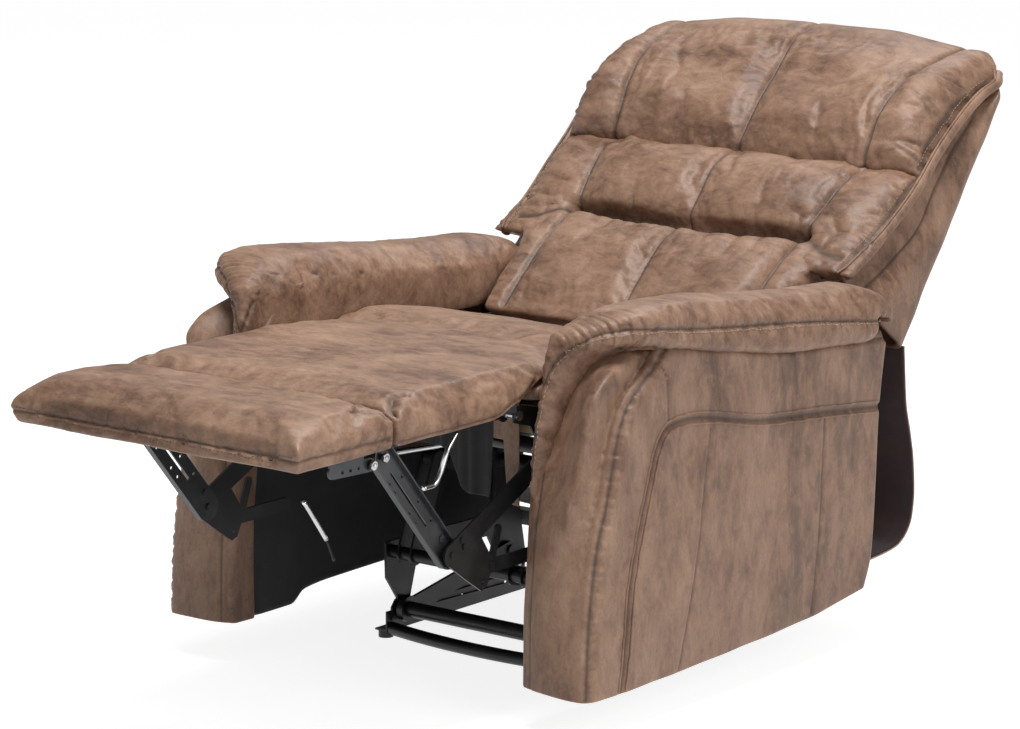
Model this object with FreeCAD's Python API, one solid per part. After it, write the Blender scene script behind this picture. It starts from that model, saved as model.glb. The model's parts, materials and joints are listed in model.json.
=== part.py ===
"""Power lift recliner armchair: steel floor base, lifting chassis, reclining back and folding footrest.

Millimetres. +X is the seated person's left, -Y is the front and +Z is up. The rest position is fully
reclined, with the footrest out and the chair lowered on its base. Every part is drawn at rest.
Profiles are given as (y, z) pairs and carried along X, because every hinge turns about X.
"""
import FreeCAD, Part
import math
import os

Vector = FreeCAD.Vector

# ---- Driving dimensions ------------------------------------------------------------------------------------
CENTRE_SHIFT = 12.0          # moves the drawing along Y so that the origin is under the middle of the chair

PAD_HALF = 287.0             # half width of seat, calf and flap pads
ARM_INNER = 296.0            # inner face of an arm's lining
ARM_OUTER = 440.0            # outer face of an arm's side panel
ARM_PAD_OUTER = 453.0        # outer face of an arm's top pad
LINING = 3.0                 # thickness of linings and returns
PLY = 15.0                   # plywood
SIDE_PANEL = 28.5            # padded side panel
SOFT_GAP = 0.3               # clearance between a soft piece and what it lies on

RAIL_X = 195.0               # inner face of a base rail's upright flange
RAIL_FRONT, RAIL_REAR = -125.0, 335.0
RAIL_HEIGHT, RAIL_FLANGE, RAIL_WALL = 34.0, 26.0, 3.0
RAIL_HOLES = (-108.0, -5.0, 72.0, 121.0, 189.0, 255.0)      # places along a rail's upright flange
RAIL_HOLE_RADIUS, RAIL_HOLE_LIFT = 4.5, 0.62                # radius, and share of the flange's height
FOOT_HEIGHT, FOOT_RADIUS = 12.0, 12.5
FLOOR_TUBE_RADIUS, FLOOR_TUBE_BOW = 11.0, 20.0
TUBE_RADIUS = 13.0           # cross tubes
TUBE_WALL = 2.0
THIN_TUBE_RADIUS = 11.0      # lift tie
GUSSET = 4.0

LINK_WALL = 4.0              # linkage plates
LIFT_ARM_WALL = 6.0
LIFT_LEG_WALL = 5.0
PLAY = 1.0                   # side play between plates that pass each other
BORE_CLEARANCE = 0.05        # radial running clearance of pins
PIN_RADIUS = 5.0
PIN_HEAD = 3.0               # head's overhang round the pin, and its thickness
EYE = 6.0                    # wall round an eye's bore
OVERCUT = 1.0                # how far a cutting tool passes the faces that it cuts
CLEVIS_HALF = 11.0           # half the space between a clevis's two plates
DRUM_RADIUS, DRUM_LENGTH, DRUM_SIDE = 20.0, 48.0, 30.0      # a drive motor's round end, beside its tube
SIDE_PLATE_X, SIDE_PLATE_WALL = 262.0, 3.0

# Hinge centres at rest, (y, z)
LIFT_BASE = (-92.0, 48.0)        # lift arm on the base's cross tube
LIFT_CHASSIS = (178.8, 95.6)     # lift arm on the lift leg
GUIDE_BASE = (-60.0, 36.0)
GUIDE_CHASSIS = (215.6, 62.9)
REAR_TUBE = (300.0, 48.0)
SEAT_HEIGHT = 552.0              # top of the pads at the front of the seat
PAD_DEPTH = 52.0                 # from there down to the calf board
BOARD_TOP = SEAT_HEIGHT - PAD_DEPTH
FRONT_TIE = (-175.0, BOARD_TOP - 75.0)       # chassis tubes
REAR_TIE = (170.0, 255.0)
LIFT_TIE = (-120.0, 150.0)
LIFT_EYE = (-75.0, 138.0)        # lift rod on the lift tie's clevis
BACK_PIVOT = (240.0, 440.0)
BACK_LEVER = (300.0, 330.0)
RECLINE_MOTOR = (-60.0, 300.0)
FOOT_MOTOR = (250.0, 330.0)
CALF_HINGE = (-355.0, BOARD_TOP - 20.0)
FLAP_HINGE = (-695.0, CALF_HINGE[1] - 17.0)
CHANNEL_TOP = (-655.0, CALF_HINGE[1] - 14.0)
KNUCKLE = (-506.0, CALF_HINGE[1] - 191.0)
LINK_PIVOT = (-260.0, CALF_HINGE[1] - 70.0)
CRANK_EYE = (-322.0, LINK_PIVOT[1] - 42.0)      # footrest rod on the drive tube's crank

LIFT_MOTOR_X, FOOT_MOTOR_X, RECLINE_MOTOR_X = 80.0, -60.0, -150.0

SEAT_RAIL_FRONT = (-305.0, -280.0)       # front and rear face
SEAT_RAIL_REAR = (165.0, 190.0)
SEAT_RAIL_HEIGHT = 42.0
SEAT_TOP_FRONT = BOARD_TOP - 15.0      # top of the rails at the front and at the rear
SEAT_TOP_REAR = SEAT_TOP_FRONT - 45.0
SPRING_WIRE, SPRING_SWING = 4.0, 46.0
SEAT_SPRING_PITCH, BACK_SPRING_PITCH = 104.0, 100.0
SEAT_SEAM, SEAT_REAR = -150.0, 190.0

ARM_BRACKETS = ((-270.0, 430.0), (100.0, 415.0))     # front and underside of each
REAR_BAR = (318.0, 340.0)    # front and rear face of the bar between the arms' rear corners

REAR_FLAP_WALL, REAR_FLAP_HALF = 4.0, 380.0

BACK_ANGLE = 37.3            # the back's lean from upright at rest
BACK_WIDTH = 388.0           # half width over the back's side panels
BACK_REAR = -223.0           # rear face, measured forward from the pivot across the back
BACK_WALL = 12.0             # padded side panel of the back


# ---- Shape helpers -----------------------------------------------------------------------------------------
def prism(points, x0, x1):
    """A closed outline of (y, z) points carried along X from x0 to x1."""
    corners = [Vector(x0, y, z) for y, z in points]
    return Part.Face(Part.makePolygon(corners + corners[:1])).extrude(Vector(x1 - x0, 0, 0))


def box(x0, x1, y0, y1, z0, z1):
    """A block between two corners."""
    return Part.makeBox(x1 - x0, y1 - y0, z1 - z0, Vector(x0, y0, z0))


def disc(centre, radius, x0, x1):
    """A cylinder along X on the hinge centre given."""
    return Part.makeCylinder(radius, x1 - x0, Vector(x0, centre[0], centre[1]), Vector(1, 0, 0))


def bar(start, end, width, x0, x1):
    """A flat link with round ends from one hinge centre to another."""
    dy, dz = end[0] - start[0], end[1] - start[1]
    length = math.hypot(dy, dz)
    ny, nz = -dz / length * width / 2, dy / length * width / 2
    outline = [(start[0] + ny, start[1] + nz), (end[0] + ny, end[1] + nz),
               (end[0] - ny, end[1] - nz), (start[0] - ny, start[1] - nz)]
    ends = [disc(start, width / 2, x0, x1), disc(end, width / 2, x0, x1)]
    return prism(outline, x0, x1).fuse(ends).removeSplitter()


def pipe(centre, radius, wall, x0, x1):
    """A tube along X with its own wall."""
    return disc(centre, radius, x0, x1).cut(disc(centre, radius - wall, x0 - 1, x1 + 1))


def fused(first, *rest):
    """Pieces that are one solid in the real chair."""
    return first.fuse(list(rest)).removeSplitter()


def mirrored(shape):
    """The same piece for the other side of the chair."""
    return shape.mirror(Vector(0, 0, 0), Vector(1, 0, 0))


def pair(shape):
    """Left and right copies, kept as two separate solids."""
    return Part.makeCompound([shape, mirrored(shape)])


def along(start, end, distance, offset=0.0):
    """The point a distance along the line from start to end, and an offset to its left."""
    length = math.dist(start, end)
    uy, uz = (end[0] - start[0]) / length, (end[1] - start[1]) / length
    return (start[0] + uy * distance - uz * offset, start[1] + uz * distance + uy * offset)


def in_back(rise, forward):
    """A point of the back: its rise from the pivot along the back, and how far forward of it."""
    lean = math.radians(BACK_ANGLE)
    return (BACK_PIVOT[0] + rise * math.sin(lean) - forward * math.cos(lean),
            BACK_PIVOT[1] + rise * math.cos(lean) + forward * math.sin(lean))


def back_prism(points, x0, x1):
    """A prism whose outline is given as (rise, forward) pairs of the back."""
    return prism([in_back(*p) for p in points], x0, x1)


def serpentine(start, end, x, width, wire, turns):
    """A sinuous spring from start to end: a flat wire that swings across x by its width."""
    length = math.dist(start, end)
    step = length / turns
    left, right = [], []
    for i in range(turns + 1):
        side = 1 if i % 2 else -1
        left.append((side * width / 2 - wire / 2, i * step))
        right.append((side * width / 2 + wire / 2, i * step))
    outline = [Vector(a, b, 0) for a, b in left + right[::-1]]
    strip = Part.Face(Part.makePolygon(outline + outline[:1])).extrude(Vector(0, 0, wire))
    slope = math.degrees(math.atan2(end[1] - start[1], end[0] - start[0]))
    strip.rotate(Vector(0, 0, 0), Vector(1, 0, 0), slope)
    strip.translate(Vector(x, start[0], start[1]))
    return strip


# ---- Base --------------------------------------------------------------------------------------------------
def base_rail():
    """Angle-section rail with a row of drilled holes in its upright flange."""
    low = FOOT_HEIGHT
    rail = fused(box(RAIL_X, RAIL_X + RAIL_WALL, RAIL_FRONT, RAIL_REAR, low, low + RAIL_HEIGHT),
                 box(RAIL_X, RAIL_X + RAIL_FLANGE, RAIL_FRONT, RAIL_REAR, low, low + RAIL_WALL))
    x0, x1 = RAIL_X - OVERCUT, RAIL_X + RAIL_WALL + OVERCUT
    for y in RAIL_HOLES:
        rail = rail.cut(disc((y, low + RAIL_HEIGHT * RAIL_HOLE_LIFT), RAIL_HOLE_RADIUS, x0, x1))
    return rail.cut(disc(GUIDE_BASE, PIN_RADIUS, x0, x1))


def base_front_tube():
    """Floor tube bowed forward between the two rails."""
    y, z = RAIL_FRONT + FLOOR_TUBE_RADIUS + 1, FOOT_HEIGHT + RAIL_WALL + FLOOR_TUBE_RADIUS - 10
    reach = RAIL_X + 20
    bow = FLOOR_TUBE_BOW * (reach / RAIL_X) ** 2
    path = Part.Arc(Vector(-reach, y + bow - FLOOR_TUBE_BOW, z), Vector(0, y - FLOOR_TUBE_BOW, z),
                    Vector(reach, y + bow - FLOOR_TUBE_BOW, z)).toShape()
    start = path.valueAt(path.FirstParameter)
    ring = Part.Wire(Part.makeCircle(FLOOR_TUBE_RADIUS, start, path.tangentAt(path.FirstParameter)))
    tube = Part.Wire(path).makePipeShell([ring], True, False)
    return tube.common(box(-RAIL_X, RAIL_X, y - 100, y + 100, z - 50, z + 50))


def base_gusset():
    x0, x1 = RAIL_X - GUSSET, RAIL_X
    y, z = LIFT_BASE
    outline = [(y - 24, z - 18), (y - 24, z + 4), (y - 13, z + 17), (y + 13, z + 17),
               (y + 54, z + 8), (y + 92, z - 8), (y + 92, z - 18)]
    return prism(outline, x0, x1).cut(disc(LIFT_BASE, TUBE_RADIUS, x0 - 1, x1 + 1)).cut(
        disc(GUIDE_BASE, PIN_RADIUS, x0 - 1, x1 + 1))


def base_parts():
    rail = base_rail()
    feet = [Part.makeCylinder(FOOT_RADIUS, FOOT_HEIGHT, Vector(side * (RAIL_X + RAIL_FLANGE / 2), y, 0))
            for side in (-1, 1) for y in (RAIL_FRONT + FOOT_RADIUS, RAIL_REAR - FOOT_RADIUS)]
    pin_end = RAIL_X + RAIL_WALL + PLAY + LINK_WALL
    guide_pin = fused(disc(GUIDE_BASE, PIN_RADIUS, RAIL_X - GUSSET, pin_end + PLAY),
                      disc(GUIDE_BASE, PIN_RADIUS + PIN_HEAD, pin_end + SOFT_GAP, pin_end + PIN_HEAD))
    return {
        "base_rail_left": rail,
        "base_rail_right": mirrored(rail),
        "base_front_tube": base_front_tube(),
        "base_rear_tube": pipe(REAR_TUBE, TUBE_RADIUS, TUBE_WALL, -RAIL_X, RAIL_X),
        "base_feet": Part.makeCompound(feet),
        "base_gussets": pair(fused(base_gusset(), rear_tube_bracket())),
        "lift_cross_tube": pipe(LIFT_BASE, TUBE_RADIUS, TUBE_WALL, -RAIL_X, RAIL_X),
        "guide_pins": pair(guide_pin),
    }


def rear_tube_bracket():
    """Upright plate that holds the rear tube; it shares the front gusset's plane."""
    x0, x1 = RAIL_X - GUSSET, RAIL_X
    y, z = REAR_TUBE
    low = FOOT_HEIGHT + RAIL_WALL
    front = LIFT_BASE[0] + 92
    strip = prism([(front - 20, low), (front - 20, low + 16), (front, LIFT_BASE[1] - 10),
                   (y - 24, low + 16), (y - 24, z + 17), (y + 24, z + 17), (y + 24, low)], x0, x1)
    return strip.cut(disc(REAR_TUBE, TUBE_RADIUS, x0 - 1, x1 + 1))


# ---- Lift linkage ------------------------------------------------------------------------------------------
LIFT_ARM_X = 176.0           # inner face of a lift arm
LIFT_LEG_X = 185.0           # inner face of a lift leg


def lift_arm():
    x0, x1 = LIFT_ARM_X, LIFT_ARM_X + LIFT_ARM_WALL
    arm = fused(bar(LIFT_BASE, LIFT_CHASSIS, 30, x0, x1),
                disc(LIFT_BASE, TUBE_RADIUS + 9, x0 - 4, x1 + 2))
    arm = arm.cut(disc(LIFT_BASE, TUBE_RADIUS + BORE_CLEARANCE, x0 - 5, x1 + 5))
    return fused(arm, disc(LIFT_CHASSIS, PIN_RADIUS + 4, x0 - 4, x1))


def guide_link():
    x0 = RAIL_X + RAIL_WALL + PLAY
    link = bar(GUIDE_BASE, GUIDE_CHASSIS, 24, x0, x0 + LINK_WALL)
    link = link.cut(disc(GUIDE_BASE, PIN_RADIUS + BORE_CLEARANCE, x0 - 1, x0 + LINK_WALL + 1))
    return fused(link, disc(GUIDE_CHASSIS, PIN_RADIUS + 3, x0, x0 + LINK_WALL + 3))


def lift_leg():
    """Plate of the chassis that stands on the base's cross tube and carries the lift arm and guide link."""
    x0, x1 = LIFT_LEG_X, LIFT_LEG_X + LIFT_LEG_WALL
    y0, z0 = LIFT_BASE
    seat = z0 + TUBE_RADIUS + 0.3
    ty, tz = LIFT_TIE
    outline = [(REAR_TIE[0] - 22, REAR_TIE[1] + 20), (REAR_TIE[0] + 22, REAR_TIE[1] + 20),
               (GUIDE_CHASSIS[0] + 16, GUIDE_CHASSIS[1] + 12), (GUIDE_CHASSIS[0] + 12, GUIDE_CHASSIS[1] - 12),
               (GUIDE_CHASSIS[0] - 10, GUIDE_CHASSIS[1] - 12), (LIFT_CHASSIS[0] - 25, LIFT_CHASSIS[1] - 10),
               (LIFT_CHASSIS[0] - 50, tz - 22), (y0 + 34, tz - 22), (y0 + 14, seat), (y0 - 12, seat),
               (y0 - 44, seat + 46), (y0 - 46, tz + 18), (ty + 20, tz + 18), (LIFT_CHASSIS[0] - 40, tz + 14)]
    leg = prism(outline, x0, x1)
    for centre, radius in ((REAR_TIE, TUBE_RADIUS), (LIFT_TIE, THIN_TUBE_RADIUS),
                           (LIFT_CHASSIS, PIN_RADIUS), (GUIDE_CHASSIS, PIN_RADIUS)):
        leg = leg.cut(disc(centre, radius, x0 - 1, x1 + 1))
    return leg


def actuator(pivot, eye, x, neck, body_end, tube_end, rod_start, body_radius, tube_radius,
             rod_radius, eye_bore, pivot_bore):
    """Motor with its outer tube, and the rod that slides in the tube, between a pivot and the rod's eye.

    neck, body_end, tube_end and rod_start are distances from the pivot towards the eye.
    """
    length = math.dist(pivot, eye)
    direction = Vector(0, eye[0] - pivot[0], eye[1] - pivot[1]).normalize()
    origin = Vector(x, pivot[0], pivot[1])

    def rod(radius, a, b):
        return Part.makeCylinder(radius, b - a, origin + direction * a, direction)

    def block(half_x, half_n, a, b):
        piece = Part.makeBox(2 * half_x, b - a, 2 * half_n, Vector(-half_x, a, -half_n))
        slope = math.degrees(math.atan2(direction.z, direction.y))
        piece.rotate(Vector(0, 0, 0), Vector(1, 0, 0), slope)
        piece.translate(origin)
        return piece

    half = CLEVIS_HALF - PLAY
    lug = pivot_bore + EYE + 1
    drum_start = origin + direction * body_end + Vector(DRUM_SIDE, 0, 0)
    drum = Part.makeCylinder(DRUM_RADIUS, DRUM_LENGTH, drum_start, direction)
    motor = fused(disc(pivot, lug, x - half, x + half), block(half, lug * 0.7, 0, neck),
                  block(DRUM_SIDE, body_radius, neck, body_end), rod(tube_radius, body_end, tube_end), drum)
    motor = motor.cut(disc(pivot, pivot_bore, x - CLEVIS_HALF, x + CLEVIS_HALF))
    motor = motor.cut(rod(rod_radius + BORE_CLEARANCE, body_end + PLAY, tube_end + 1))
    eye_half = CLEVIS_HALF - 3 * PLAY
    slider = fused(rod(rod_radius, rod_start, length - eye_bore - 3),
                   disc(eye, eye_bore + EYE, x - eye_half, x + eye_half))
    return motor, slider.cut(disc(eye, eye_bore, x - eye_half - 1, x + eye_half + 1))


def lift_parts():
    motor, rod = actuator(REAR_TUBE, LIFT_EYE, LIFT_MOTOR_X, neck=34, body_end=92, tube_end=355, rod_start=97,
                          body_radius=27, tube_radius=17, rod_radius=10, eye_bore=PIN_RADIUS + 1,
                          pivot_bore=TUBE_RADIUS + BORE_CLEARANCE)
    return {
        "lift_arms": pair(lift_arm()),
        "guide_links": pair(guide_link()),
        "lift_motor": motor,
        "lift_rod": rod,
    }


# ---- Chassis -----------------------------------------------------------------------------------------------
def side_plate():
    """Mechanism plate beside the seat, with the ears of the calf hinge and the back hinge."""
    x0, x1 = SIDE_PLATE_X, SIDE_PLATE_X + SIDE_PLATE_WALL
    cy, cz = CALF_HINGE
    by, bz = BACK_PIVOT
    ly, lz = LINK_PIVOT
    front, rear = SEAT_RAIL_FRONT[0], SEAT_RAIL_REAR[1]
    ry, rz = REAR_TIE
    fy, fz = FRONT_TIE
    outline = [(cy - 12, cz - 10), (cy - 12, cz + 8), (cy - 4, cz + 14), (cy + 12, cz + 14),
               (front, rail_top(front)), (rear, rail_top(rear)), (by - 21, bz + 8), (by - 8, bz + 21),
               (by + 8, bz + 21), (by + 21, bz + 8), (by + 21, bz - 12), (by - 14, bz - 30),
               (ry + 30, rz - 18), (ry - 26, rz - 18), (ry - 40, rz + 80), (fy + 24, fz - 22),
               (fy - 20, fz - 22), (ly + 12, lz - 22), (ly - 20, lz - 22), (cy + 30, cz - 22)]
    plate = prism(outline, x0, x1)
    for centre in (CALF_HINGE, LINK_PIVOT, BACK_PIVOT):
        plate = plate.cut(disc(centre, PIN_RADIUS, x0 - 1, x1 + 1))
    return plate


def pivot_pins():
    """Pins of the calf hinge, the lower link and the back hinge, and the rivets of the lift leg."""
    pins = []
    plate_outer = SIDE_PLATE_X + SIDE_PLATE_WALL
    for centre, inner in ((CALF_HINGE, CALF_PLATE_X - 3), (LINK_PIVOT, LOWER_LINK_X - 3),
                          (BACK_PIVOT, BACK_PLATE_X - 3)):
        pins.append(fused(disc(centre, PIN_RADIUS, inner, plate_outer),
                          disc(centre, PIN_RADIUS + PIN_HEAD, inner - PIN_HEAD, inner),
                          disc(centre, PIN_RADIUS + PIN_HEAD, plate_outer, plate_outer + PIN_HEAD)))
    leg_outer = LIFT_LEG_X + LIFT_LEG_WALL
    for centre in (LIFT_CHASSIS, GUIDE_CHASSIS):
        pins.append(fused(disc(centre, PIN_RADIUS, LIFT_LEG_X, leg_outer),
                          disc(centre, PIN_RADIUS + PIN_HEAD, leg_outer, leg_outer + PIN_HEAD)))
    return Part.makeCompound(pins + [mirrored(p) for p in pins])


def motor_brackets():
    """Clevis plates on the chassis tubes for the recline motor, the footrest motor and the lift rod."""
    plates = []
    spots = ((LIFT_TIE, THIN_TUBE_RADIUS, RECLINE_MOTOR, RECLINE_MOTOR_X, True),
             (REAR_TIE, TUBE_RADIUS, FOOT_MOTOR, FOOT_MOTOR_X, True),
             (LIFT_TIE, THIN_TUBE_RADIUS, LIFT_EYE, LIFT_MOTOR_X, False))
    for tie, tie_radius, pivot, x, pinned in spots:
        for side in (-1, 1):
            x0 = x + (CLEVIS_HALF if side > 0 else -CLEVIS_HALF - LINK_WALL)
            plate = bar(tie, pivot, 2 * tie_radius + 10, x0, x0 + LINK_WALL)
            plates.append(plate.cut(disc(tie, tie_radius, x0 - 1, x0 + LINK_WALL + 1)))
        if pinned:
            plates.append(disc(pivot, PIN_RADIUS, x - CLEVIS_HALF, x + CLEVIS_HALF))
    return Part.makeCompound(plates)


def rail_top(y):
    """Height of the line along the tops of the two seat rails at y."""
    y0, y1 = SEAT_RAIL_FRONT[0], SEAT_RAIL_REAR[1]
    return SEAT_TOP_FRONT + (SEAT_TOP_REAR - SEAT_TOP_FRONT) * (y - y0) / (y1 - y0)


def seat_line(y):
    """Height of the pads' underside at y, just above the springs."""
    return rail_top(y) + 2 * SOFT_GAP + SPRING_WIRE


def seat_rails():
    rails = []
    for y0, y1 in (SEAT_RAIL_FRONT, SEAT_RAIL_REAR):
        low = rail_top(y1) - SEAT_RAIL_HEIGHT
        rails.append(prism([(y0, low), (y1, low), (y1, rail_top(y1)), (y0, rail_top(y0))],
                           -SIDE_PLATE_X, SIDE_PLATE_X))
    return Part.makeCompound(rails)


def seat_springs():
    front, rear = SEAT_RAIL_FRONT[0] + 3, SEAT_RAIL_REAR[1] - 3
    ends = [(y, rail_top(y) + SOFT_GAP) for y in (front, rear)]
    return Part.makeCompound([serpentine(*ends, i * SEAT_SPRING_PITCH, SPRING_SWING, SPRING_WIRE, 22)
                              for i in range(-2, 3)])


def seat_pads():
    """The fixed front part of the long leg pad, and the seat cushion that slopes down to the back."""
    front = CALF_HINGE[0] + 17
    hinge_top = CALF_HINGE[1] + 17
    front_pad = prism([(front, hinge_top), (front, SEAT_HEIGHT - 7), (front + 18, SEAT_HEIGHT),
                       (SEAT_SEAM, SEAT_HEIGHT), (SEAT_SEAM, seat_line(SEAT_SEAM)),
                       (SEAT_RAIL_FRONT[0] + 15, seat_line(SEAT_RAIL_FRONT[0] + 15)),
                       (SEAT_RAIL_FRONT[0] - 1, hinge_top)], -PAD_HALF, PAD_HALF)
    start = SEAT_SEAM + SOFT_GAP
    cushion = prism([(start, seat_line(start)), (start, SEAT_HEIGHT), (start + 90, SEAT_HEIGHT - 10),
                     (SEAT_REAR - 12, SEAT_HEIGHT - 67), (SEAT_REAR, SEAT_HEIGHT - 76),
                     (SEAT_REAR, seat_line(SEAT_REAR) + 3)], -PAD_HALF, PAD_HALF)
    return front_pad, cushion


# ---- Arms --------------------------------------------------------------------------------------------------
ARM_FRAME_FRONT = [(-368, 78), (-348, 260), (-326, 420), (-285, 505), (-215, 562), (330, 540)]
ARM_FRAME = ARM_FRAME_FRONT + [(378, 498), (366, 390), (330, 112)]
ARM_REAR = [(401, 500), (385, 390), (377, 279), (368, 152), (350, 100)]
NOSE_OUTER = 392.0           # outer face of the pad's nose
ARM_SHOULDER = [(-240, 583), (-90, 563), (108, 527), (272, 513), (378, 506)]     # under the pad's outer edge


def arm_frame():
    """Plywood box of an arm: outer panel with the front and top boards glued to it."""
    outer = ARM_OUTER - SIDE_PANEL
    panel = prism(ARM_FRAME, outer - PLY, outer)
    inside = [(-353, 79), (-333, 258), (-311, 416), (-272, 497), (-210, 562 - PLY), (330, 540 - PLY)]
    boards = prism(ARM_FRAME_FRONT + inside[::-1], ARM_INNER + LINING, outer - PLY)
    return fused(panel, boards)


def frame_block():
    """The space that the arm's frame fills, which the soft pieces around it keep out of."""
    return prism(ARM_FRAME, ARM_INNER, ARM_OUTER - SIDE_PANEL)


def arm_side():
    """Padded outer panel that wraps round the rear edge and returns inside."""
    outer = ARM_OUTER - SIDE_PANEL
    front = [(-398, 66), (-394, 150), (-384, 235), (-362, 330), (-330, 440), (-296, 510), (-252, 552)]
    panel = prism(front + ARM_SHOULDER + ARM_REAR + [(201, 78)], outer, ARM_OUTER)
    rear = prism([(378, 498), (378, 506)] + ARM_REAR + [(330, 112), (366, 390)], ARM_INNER, outer)
    inner = prism([(264, 98), (264, 480), (379, 480), (366, 390), (330, 112), (338, 100)],
                  ARM_INNER, ARM_INNER + LINING)
    return fused(panel, rear, inner)


def arm_front():
    """Padded front panel: below the pad's nose at the inner side, and up beside it at the outer side."""
    outer = ARM_OUTER - SIDE_PANEL - SOFT_GAP
    low = prism([(-396, 66), (-392, 150), (-382, 240), (-365, 330), (-350, 400), (-320, 400),
                 (-340, 260), (-360, 66)], ARM_INNER + LINING + 1, outer)
    high = prism([(-350, 400), (-334, 450), (-300, 514), (-258, 556), (-216, 580), (-206, 555),
                  (-275, 500), (-316, 400)], NOSE_OUTER + 1, outer)
    return fused(low, high).cut(frame_block())


def arm_pad():
    """Top pad with a rounded rear end and a nose that drapes over the front."""
    x0, x1 = ARM_INNER, ARM_PAD_OUTER
    top = prism([(-205, 581), (378, 509), (414, 516), (418, 545), (400, 574), (370, 588), (320, 597),
                 (108, 619), (-60, 634), (-200, 647), (-275, 650), (-330, 643), (-330, 586),
                 (-245, 586)], x0, x1)
    nose = prism([(-275, 648), (-345, 641), (-403, 622), (-424, 590), (-429, 540), (-423, 437),
                  (-411, 402), (-330, 402), (-290, 510), (-240, 560)], x0 + 2, NOSE_OUTER)
    inner = prism([(-300, 480), (-300, 560), (-275, 600), (300, 585), (378, 520), (378, 482)], x0 - 4, x0)
    upper = fused(top, nose).cut(frame_block())
    side = prism(ARM_SHOULDER + [ARM_REAR[0], (430, 400), (-240, 400)],
                 ARM_OUTER - SIDE_PANEL - 1, x1 + OVERCUT)
    return fused(upper.cut(side), inner)


def arm_lining():
    """Black fabric on an arm's inner face, cut higher behind its front corner."""
    return prism([(-364, 66), (-251, 67), (-241, 78), (-219, 88), (-158, 92), (263.5, 98), (263.5, 479),
                  (-297, 479), (-326, 420), (-348, 260)], ARM_INNER, ARM_INNER + LINING)


def rear_flap():
    """Leather flap that hangs below the back, bulges behind the chair and tucks forward to the rear bar."""
    outer = [(535, 452), (538, 411), (542, 362), (561, 309), (572, 258), (577, 207), (571, 164),
             (552, 137), (527, 123), (487, 117), (415, 112), (REAR_BAR[1] + SOFT_GAP, 108)]
    inner = []
    for i, (y, z) in enumerate(outer):
        before, after = outer[max(i - 1, 0)], outer[min(i + 1, len(outer) - 1)]
        length = math.dist(before, after)
        inner.append((y + (after[1] - before[1]) / length * REAR_FLAP_WALL,
                      z - (after[0] - before[0]) / length * REAR_FLAP_WALL))
    flap = prism(outer + inner[::-1], -REAR_FLAP_HALF, REAR_FLAP_HALF)
    for x0, x1 in ((-REAR_FLAP_HALF - 20, -ARM_INNER + 4), (ARM_INNER - 4, REAR_FLAP_HALF + 20)):
        flap = flap.cut(box(x0, x1, REAR_BAR[0] - 18, ARM_REAR[0][0] + 13, 50, 200))
    return flap


def arm_bracket(y, z):
    """U-shaped bracket between a side plate and an arm; y and z are its front and its underside."""
    inner = SIDE_PLATE_X + SIDE_PLATE_WALL
    length, height, floor, wall = 60, 30, 5, 4
    return fused(box(inner, ARM_INNER, y, y + length, z, z + floor),
                 box(inner, inner + wall, y, y + length, z, z + height),
                 box(ARM_INNER - wall, ARM_INNER, y, y + length, z, z + height))


def chassis_parts():
    side = SIDE_PLATE_X
    front_pad, cushion = seat_pads()
    leg_outer = LIFT_LEG_X + LIFT_LEG_WALL
    tubes = [pipe(FRONT_TIE, TUBE_RADIUS, TUBE_WALL, -side, side),
             pipe(REAR_TIE, TUBE_RADIUS, TUBE_WALL, -side, side),
             pipe(LIFT_TIE, THIN_TUBE_RADIUS, TUBE_WALL, -leg_outer, leg_outer)]
    brackets = [arm_bracket(y, z) for y, z in ARM_BRACKETS]
    parts = {
        "side_plates": pair(side_plate()),
        "chassis_tubes": Part.makeCompound(tubes),
        "lift_legs": pair(lift_leg()),
        "motor_brackets": motor_brackets(),
        "pivot_pins": pivot_pins(),
        "seat_rails": seat_rails(),
        "seat_springs": seat_springs(),
        "seat_front_pad": front_pad,
        "seat_cushion": cushion,
        "arm_brackets": Part.makeCompound(brackets + [mirrored(b) for b in brackets]),
        "rear_bar": box(-ARM_INNER, ARM_INNER, *REAR_BAR, 100, 126),
        "rear_flap": rear_flap(),
    }
    for name, shape in (("arm_frame", arm_frame()), ("arm_side", arm_side()), ("arm_front", arm_front()),
                        ("arm_pad", arm_pad()), ("arm_lining", arm_lining())):
        parts[name + "_left"] = shape
        parts[name + "_right"] = mirrored(shape)
    return parts


# ---- Back --------------------------------------------------------------------------------------------------
BACK_PLATE_X = 254.0
POST_X0, POST_X1 = 226.0, 254.0
POST_FORWARD = (-205.0, -150.0)
POST_RISE = (60.0, 690.0)
RAIL_RISE = 40.0             # height of the rails between the posts, along the back
WING_INNER = 283.0
CUSHION_GAP = 2.0            # between a cushion's end and the wing beside it
WAIST, TUCK = 276.0, 428.0   # rise of the tucks under the middle roll and under the head pillow
SHELL_LOW, SHELL_TOP = 196.0, 716.0
ARM_CLEAR = [(150, 300), (438, 300), (438, 606), (150, 606)]     # kept clear for the arms, as is all that
ARM_SWEEP = 214.0                                                # lies this near to the back's pivot


def back_bracket():
    """Hinge plate of the back: from its pivot to the post, with the lever of the recline rod."""
    x0, x1 = BACK_PLATE_X, BACK_PLATE_X + LINK_WALL
    post_front, post_rear = POST_FORWARD[1], POST_FORWARD[0]
    plate = fused(back_prism([(-18, 14), (16, 18), (26, -40), (26, -110), (POST_RISE[0] + 20, post_front),
                              (POST_RISE[0] + 140, post_front), (POST_RISE[0] + 140, post_rear),
                              (POST_RISE[0] - 5, post_rear), (-20, -150)], x0, x1),
                  disc(BACK_PIVOT, 21, x0, x1), bar(BACK_LEVER, in_back(0, -110), 34, x0, x1))
    return plate.cut(disc(BACK_PIVOT, PIN_RADIUS + BORE_CLEARANCE, x0 - 1, x1 + 1))


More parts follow.
